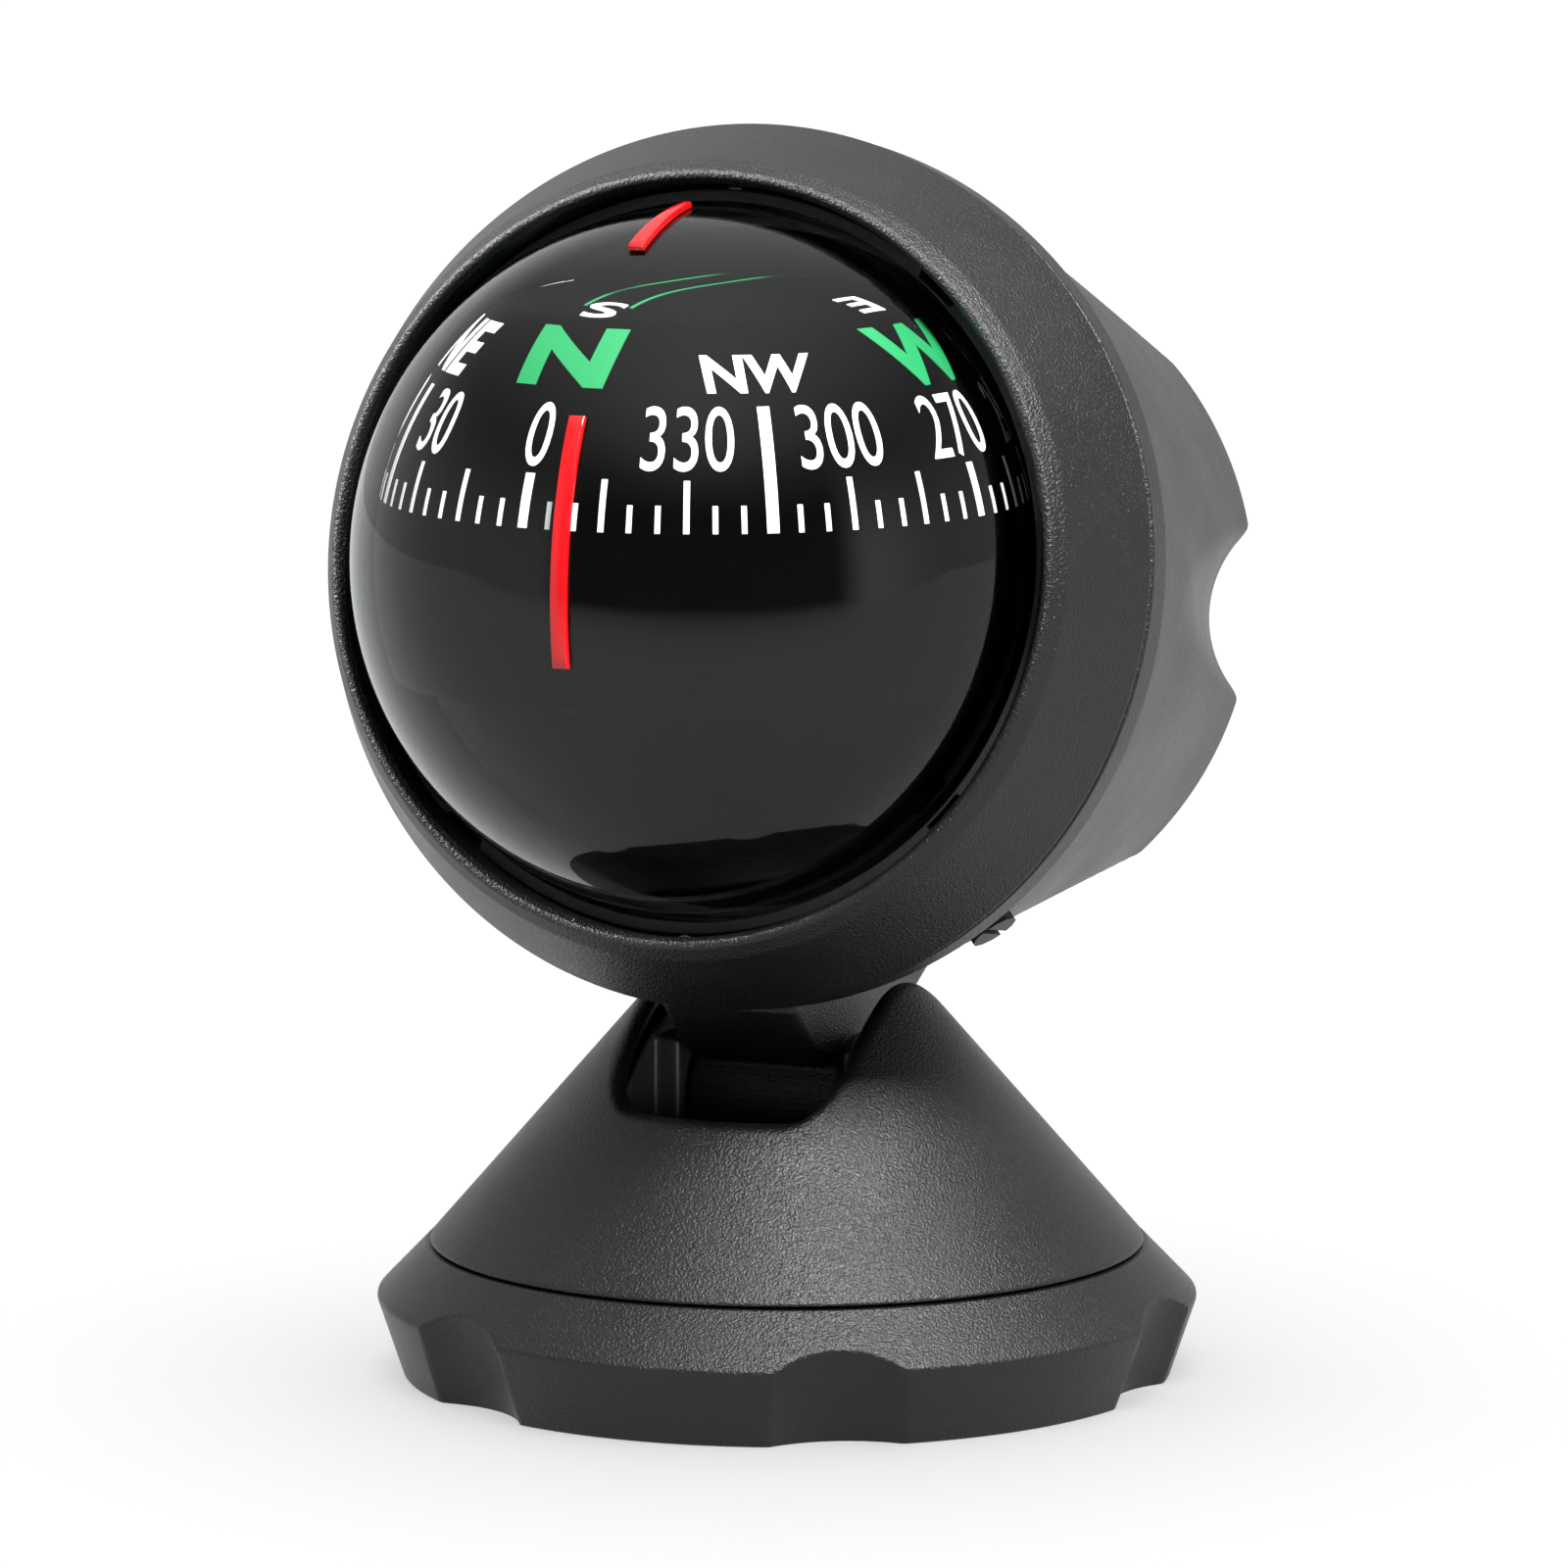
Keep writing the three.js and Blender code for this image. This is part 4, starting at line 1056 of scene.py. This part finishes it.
def ball_place(heading, rows):
    """Letters on the ball, between two latitudes."""
    middle = sum(rows) / 2

    def place(x, y, lift):
        latitude = middle + np.degrees(y / CARD.radius)
        turn = np.degrees(x / (CARD.radius * math.cos(math.radians(middle))))
        return on_ball(latitude, -heading + turn, lift)

    return place


def row_height(rows):
    return math.radians(rows[1] - rows[0]) * CARD.radius


def crown_place(heading, radius):
    """Letters on the crown, upright for a reader on the far side."""
    turn = math.radians(-heading - 90)

    def place(x, y, lift):
        out = radius + y
        along = out * math.cos(turn) + x * math.sin(turn)
        across = out * math.sin(turn) - x * math.cos(turn)
        return on_crown(along, across, lift)

    return place


def on_crown(x, y, lift):
    return np.column_stack([x, y, crown_height(np.hypot(x, y)) + lift])


def scale_ticks(ink):
    for heading in range(0, 360, 5):
        if heading % 90 == 0:
            tick(ink, heading, ROWS.middle, TICK_HALF.quarter)
        elif heading % 45 == 0:
            tick(ink, heading, ROWS.tall, TICK_HALF.eighth)
        elif heading % 15 == 0:
            tick(ink, heading, ROWS.middle - 0.4, TICK_HALF.middle)
        else:
            tick(ink, heading, ROWS.small, TICK_HALF.small)


def scale_figures(ink):
    for heading in range(0, 360, 30):
        text = str(heading)
        wide = FIGURE_PITCH * len(text) - FIGURE_GAP
        if heading == 270:
            wide *= 1.08
        letters(ink, text, row_height(ROWS.digits), wide, ball_place(heading, ROWS.digits))


def crown_lines(ink):
    """Two parallel lines across the crown, in line with north and south."""
    for side in (-CROWN_LINE.side, CROWN_LINE.side):
        def place(along, across, lift):
            return on_crown(side + across, along, lift)

        ink.slab(np.linspace(*CROWN_LINE.ends, 30), CROWN_LINE.half, place)


def card_print():
    white, green = Solids(), Solids()
    scale_ticks(white)
    scale_figures(white)
    for ink, bold, spread, points in ((white, 0.03, 0.16, HALF_WINDS), (green, 0.045, 0.2, WINDS)):
        for text, heading, wide, rows in points:
            letters(ink, text, row_height(rows), wide, ball_place(heading, rows), bold, spread)
    for heading, text in enumerate("SWNE"):
        place = crown_place(90 * heading, CROWN_LETTER.radius)
        letters(white, text, CROWN_LETTER.tall, CROWN_LETTER.wide, place, CROWN_LETTER.bold)
    crown_lines(green)
    white.make("card_print_white", "card", "print_white")
    green.make("card_print_green", "card", "print_green")


# ---------------------------- stage

def area_light(name, settings, lit):
    """A rectangular lamp placed by its distances to the front, right and up, lighting only some objects."""
    lamp = bpy.data.lights.new(name, "AREA")
    lamp.shape = "RECTANGLE"
    lamp.size, lamp.size_y = settings.size
    lamp.energy = settings.power
    front, right = view_frame()
    up = Vector((0, 0, 1))
    aim = Vector(LIGHT_AIM)
    forth, across, above = settings.place
    at = aim + front * forth + right * across + up * above
    obj = new_object(name, lamp)
    obj.location = at
    aim -= up * settings.aim_drop
    obj.rotation_euler = (aim - at).to_track_quat("-Z", "Y").to_euler()
    receivers = bpy.data.collections.new("lit_by_" + name)
    for other in lit:
        receivers.objects.link(other)
    obj.light_linking.receiver_collection = receivers


def view_frame():
    """Level directions towards the camera and to its right."""
    a = math.radians(CAMERA.azimuth)
    return Vector((math.sin(a), -math.cos(a), 0)), Vector((math.cos(a), math.sin(a), 0))


def floor():
    """A pale sheet that fades out towards the camera."""
    front, right = view_frame()
    near = Vector((CENTRE[0], CENTRE[1], 0)) * MM + front * STUDIO.floor_front
    far = -front * STUDIO.floor_far
    wide = right * STUDIO.floor_far
    mesh = bpy.data.meshes.new("floor")
    mesh.from_pydata([near - wide, near + wide, far + wide, far - wide], [], [(0, 1, 2, 3)])
    obj = new_object("floor", mesh)
    material, tree, shader = new_material("floor_paper")
    set_inputs(shader, {
        "Base Color": (0.8, 0.8, 0.8, 1),
        "Roughness": 0.9,
        "Specular IOR Level": 0.0,
        "Emission Color": (1, 1, 1, 1),
        "Emission Strength": STUDIO.floor_glow,
    })
    where = tree.nodes.new("ShaderNodeTexCoord").outputs["Object"]
    shown = fade(tree, reach_along(tree, where, front), STUDIO.floor_fade, STUDIO.floor_front, 1, 0)
    tree.links.new(shown, shader.inputs["Alpha"])
    mesh.materials.append(material)


def reach_along(tree, vector, axis):
    made = tree.nodes.new("ShaderNodeVectorMath")
    made.operation = "DOT_PRODUCT"
    tree.links.new(vector, made.inputs[0])
    made.inputs[1].default_value = axis
    return made.outputs["Value"]


def fade(tree, value, low, high, to_low, to_high):
    made = tree.nodes.new("ShaderNodeMapRange")
    made.interpolation_type = "SMOOTHSTEP"
    set_inputs(made, {"From Min": low, "From Max": high, "To Min": to_low, "To Max": to_high})
    tree.links.new(value, made.inputs["Value"])
    return made.outputs["Result"]


def studio_world():
    """A white tent that is brighter overhead, with a dark opening in front where the camera stands."""
    world = bpy.data.worlds.new("studio")
    bpy.context.scene.world = world
    tree = empty_tree(world)
    where = tree.nodes.new("ShaderNodeTexCoord").outputs["Generated"]
    split = tree.nodes.new("ShaderNodeSeparateXYZ")
    tree.links.new(where, split.inputs[0])
    front, right = view_frame()

    def along(axis):
        return reach_along(tree, where, axis)

    def total(*values):
        return functools.reduce(lambda a, b: maths(tree, "ADD", a, b), values)

    def product(a, b):
        return maths(tree, "MULTIPLY", a, b)

    w = STUDIO
    azimuth = maths(tree, "ARCTAN2", along(right), along(front))
    height = split.outputs["Z"]
    gap_edges = map(math.radians, (w.gap_half - w.gap_soft, w.gap_half))
    gap = fade(tree, maths(tree, "ABSOLUTE", azimuth), *gap_edges, 1, 0)
    gap = product(gap, fade(tree, height, *w.gap_top, 1, 0))
    ceiling = fade(tree, height, *w.ceiling_from, 0, w.ceiling - w.tent)
    low, high = w.shade_from
    left = fade(tree, along(right), -high, -low, w.left_shade, 0)
    shade = total(left, fade(tree, along(right), low, high, 0, w.right_shade))
    shade = product(shade, fade(tree, height, *w.side_from, 0, 1))
    glow = fade(tree, azimuth, *map(math.radians, w.glow_end), w.right_glow, 0)
    glow = product(glow, fade(tree, height, *w.side_from, 1, 0))
    glow = product(glow, fade(tree, azimuth, 0, 0.2, 0, 1))
    tent = total(w.tent, ceiling, shade, glow)
    light = total(product(tent, maths(tree, "SUBTRACT", 1, gap)), w.gap)
    seen = tree.nodes.new("ShaderNodeLightPath").outputs["Is Camera Ray"]
    strength = maths(tree, "MAXIMUM", light, product(seen, w.backdrop))
    background = tree.nodes.new("ShaderNodeBackground")
    tree.links.new(strength, background.inputs["Strength"])
    output = tree.nodes.new("ShaderNodeOutputWorld")
    tree.links.new(background.outputs[0], output.inputs["Surface"])


def stage():
    bpy.context.scene.view_settings.view_transform = "Standard"
    floor()
    studio_world()
    unlit = ("floor", "dome_glass", "card_ball", "card_frame", "pivot_cup")
    objects = [obj for obj in bpy.context.scene.objects if obj.type == "MESH"]
    area_light("key", KEY, [obj for obj in objects if obj.name not in unlit])
    head = ("bezel_shell", "housing_shell")
    area_light("left_rim", LEFT_RIM, [obj for obj in objects if obj.name in head])
    area_light("slot_fill", SLOT_FILL, [obj for obj in objects if obj.name == "yoke_block"])


def camera():
    c = CAMERA
    elevation = math.radians(c.elevation)
    front, right = view_frame()
    back = front * math.cos(elevation) + Vector((0, 0, math.sin(elevation)))
    aim = Vector((0, 0, c.aim_height)) + right * c.aim_side
    data = bpy.data.cameras.new("camera")
    data.lens = c.lens
    data.sensor_width = 36
    data.clip_start = 0.05
    data.clip_end = 20
    obj = new_object("camera", data)
    obj.location = (aim + back * c.distance) * MM
    obj.rotation_euler = (-back).to_track_quat("-Z", "Y").to_euler()
    bpy.context.scene.camera = obj


base_ring()
pedestal_cone()
yoke()
neck()
front_bezel()
rear_housing()
retaining_ring()
dome()
lubber("lubber_front", LUBBER_FRONT, "lubber_line_front")
lubber("lubber_top", LUBBER_TOP, "lubber_line_top", offset=-0.6, tip=0.35)
card_shell()
card_frame()
pivot_cup()
card_print()
stage()
camera()
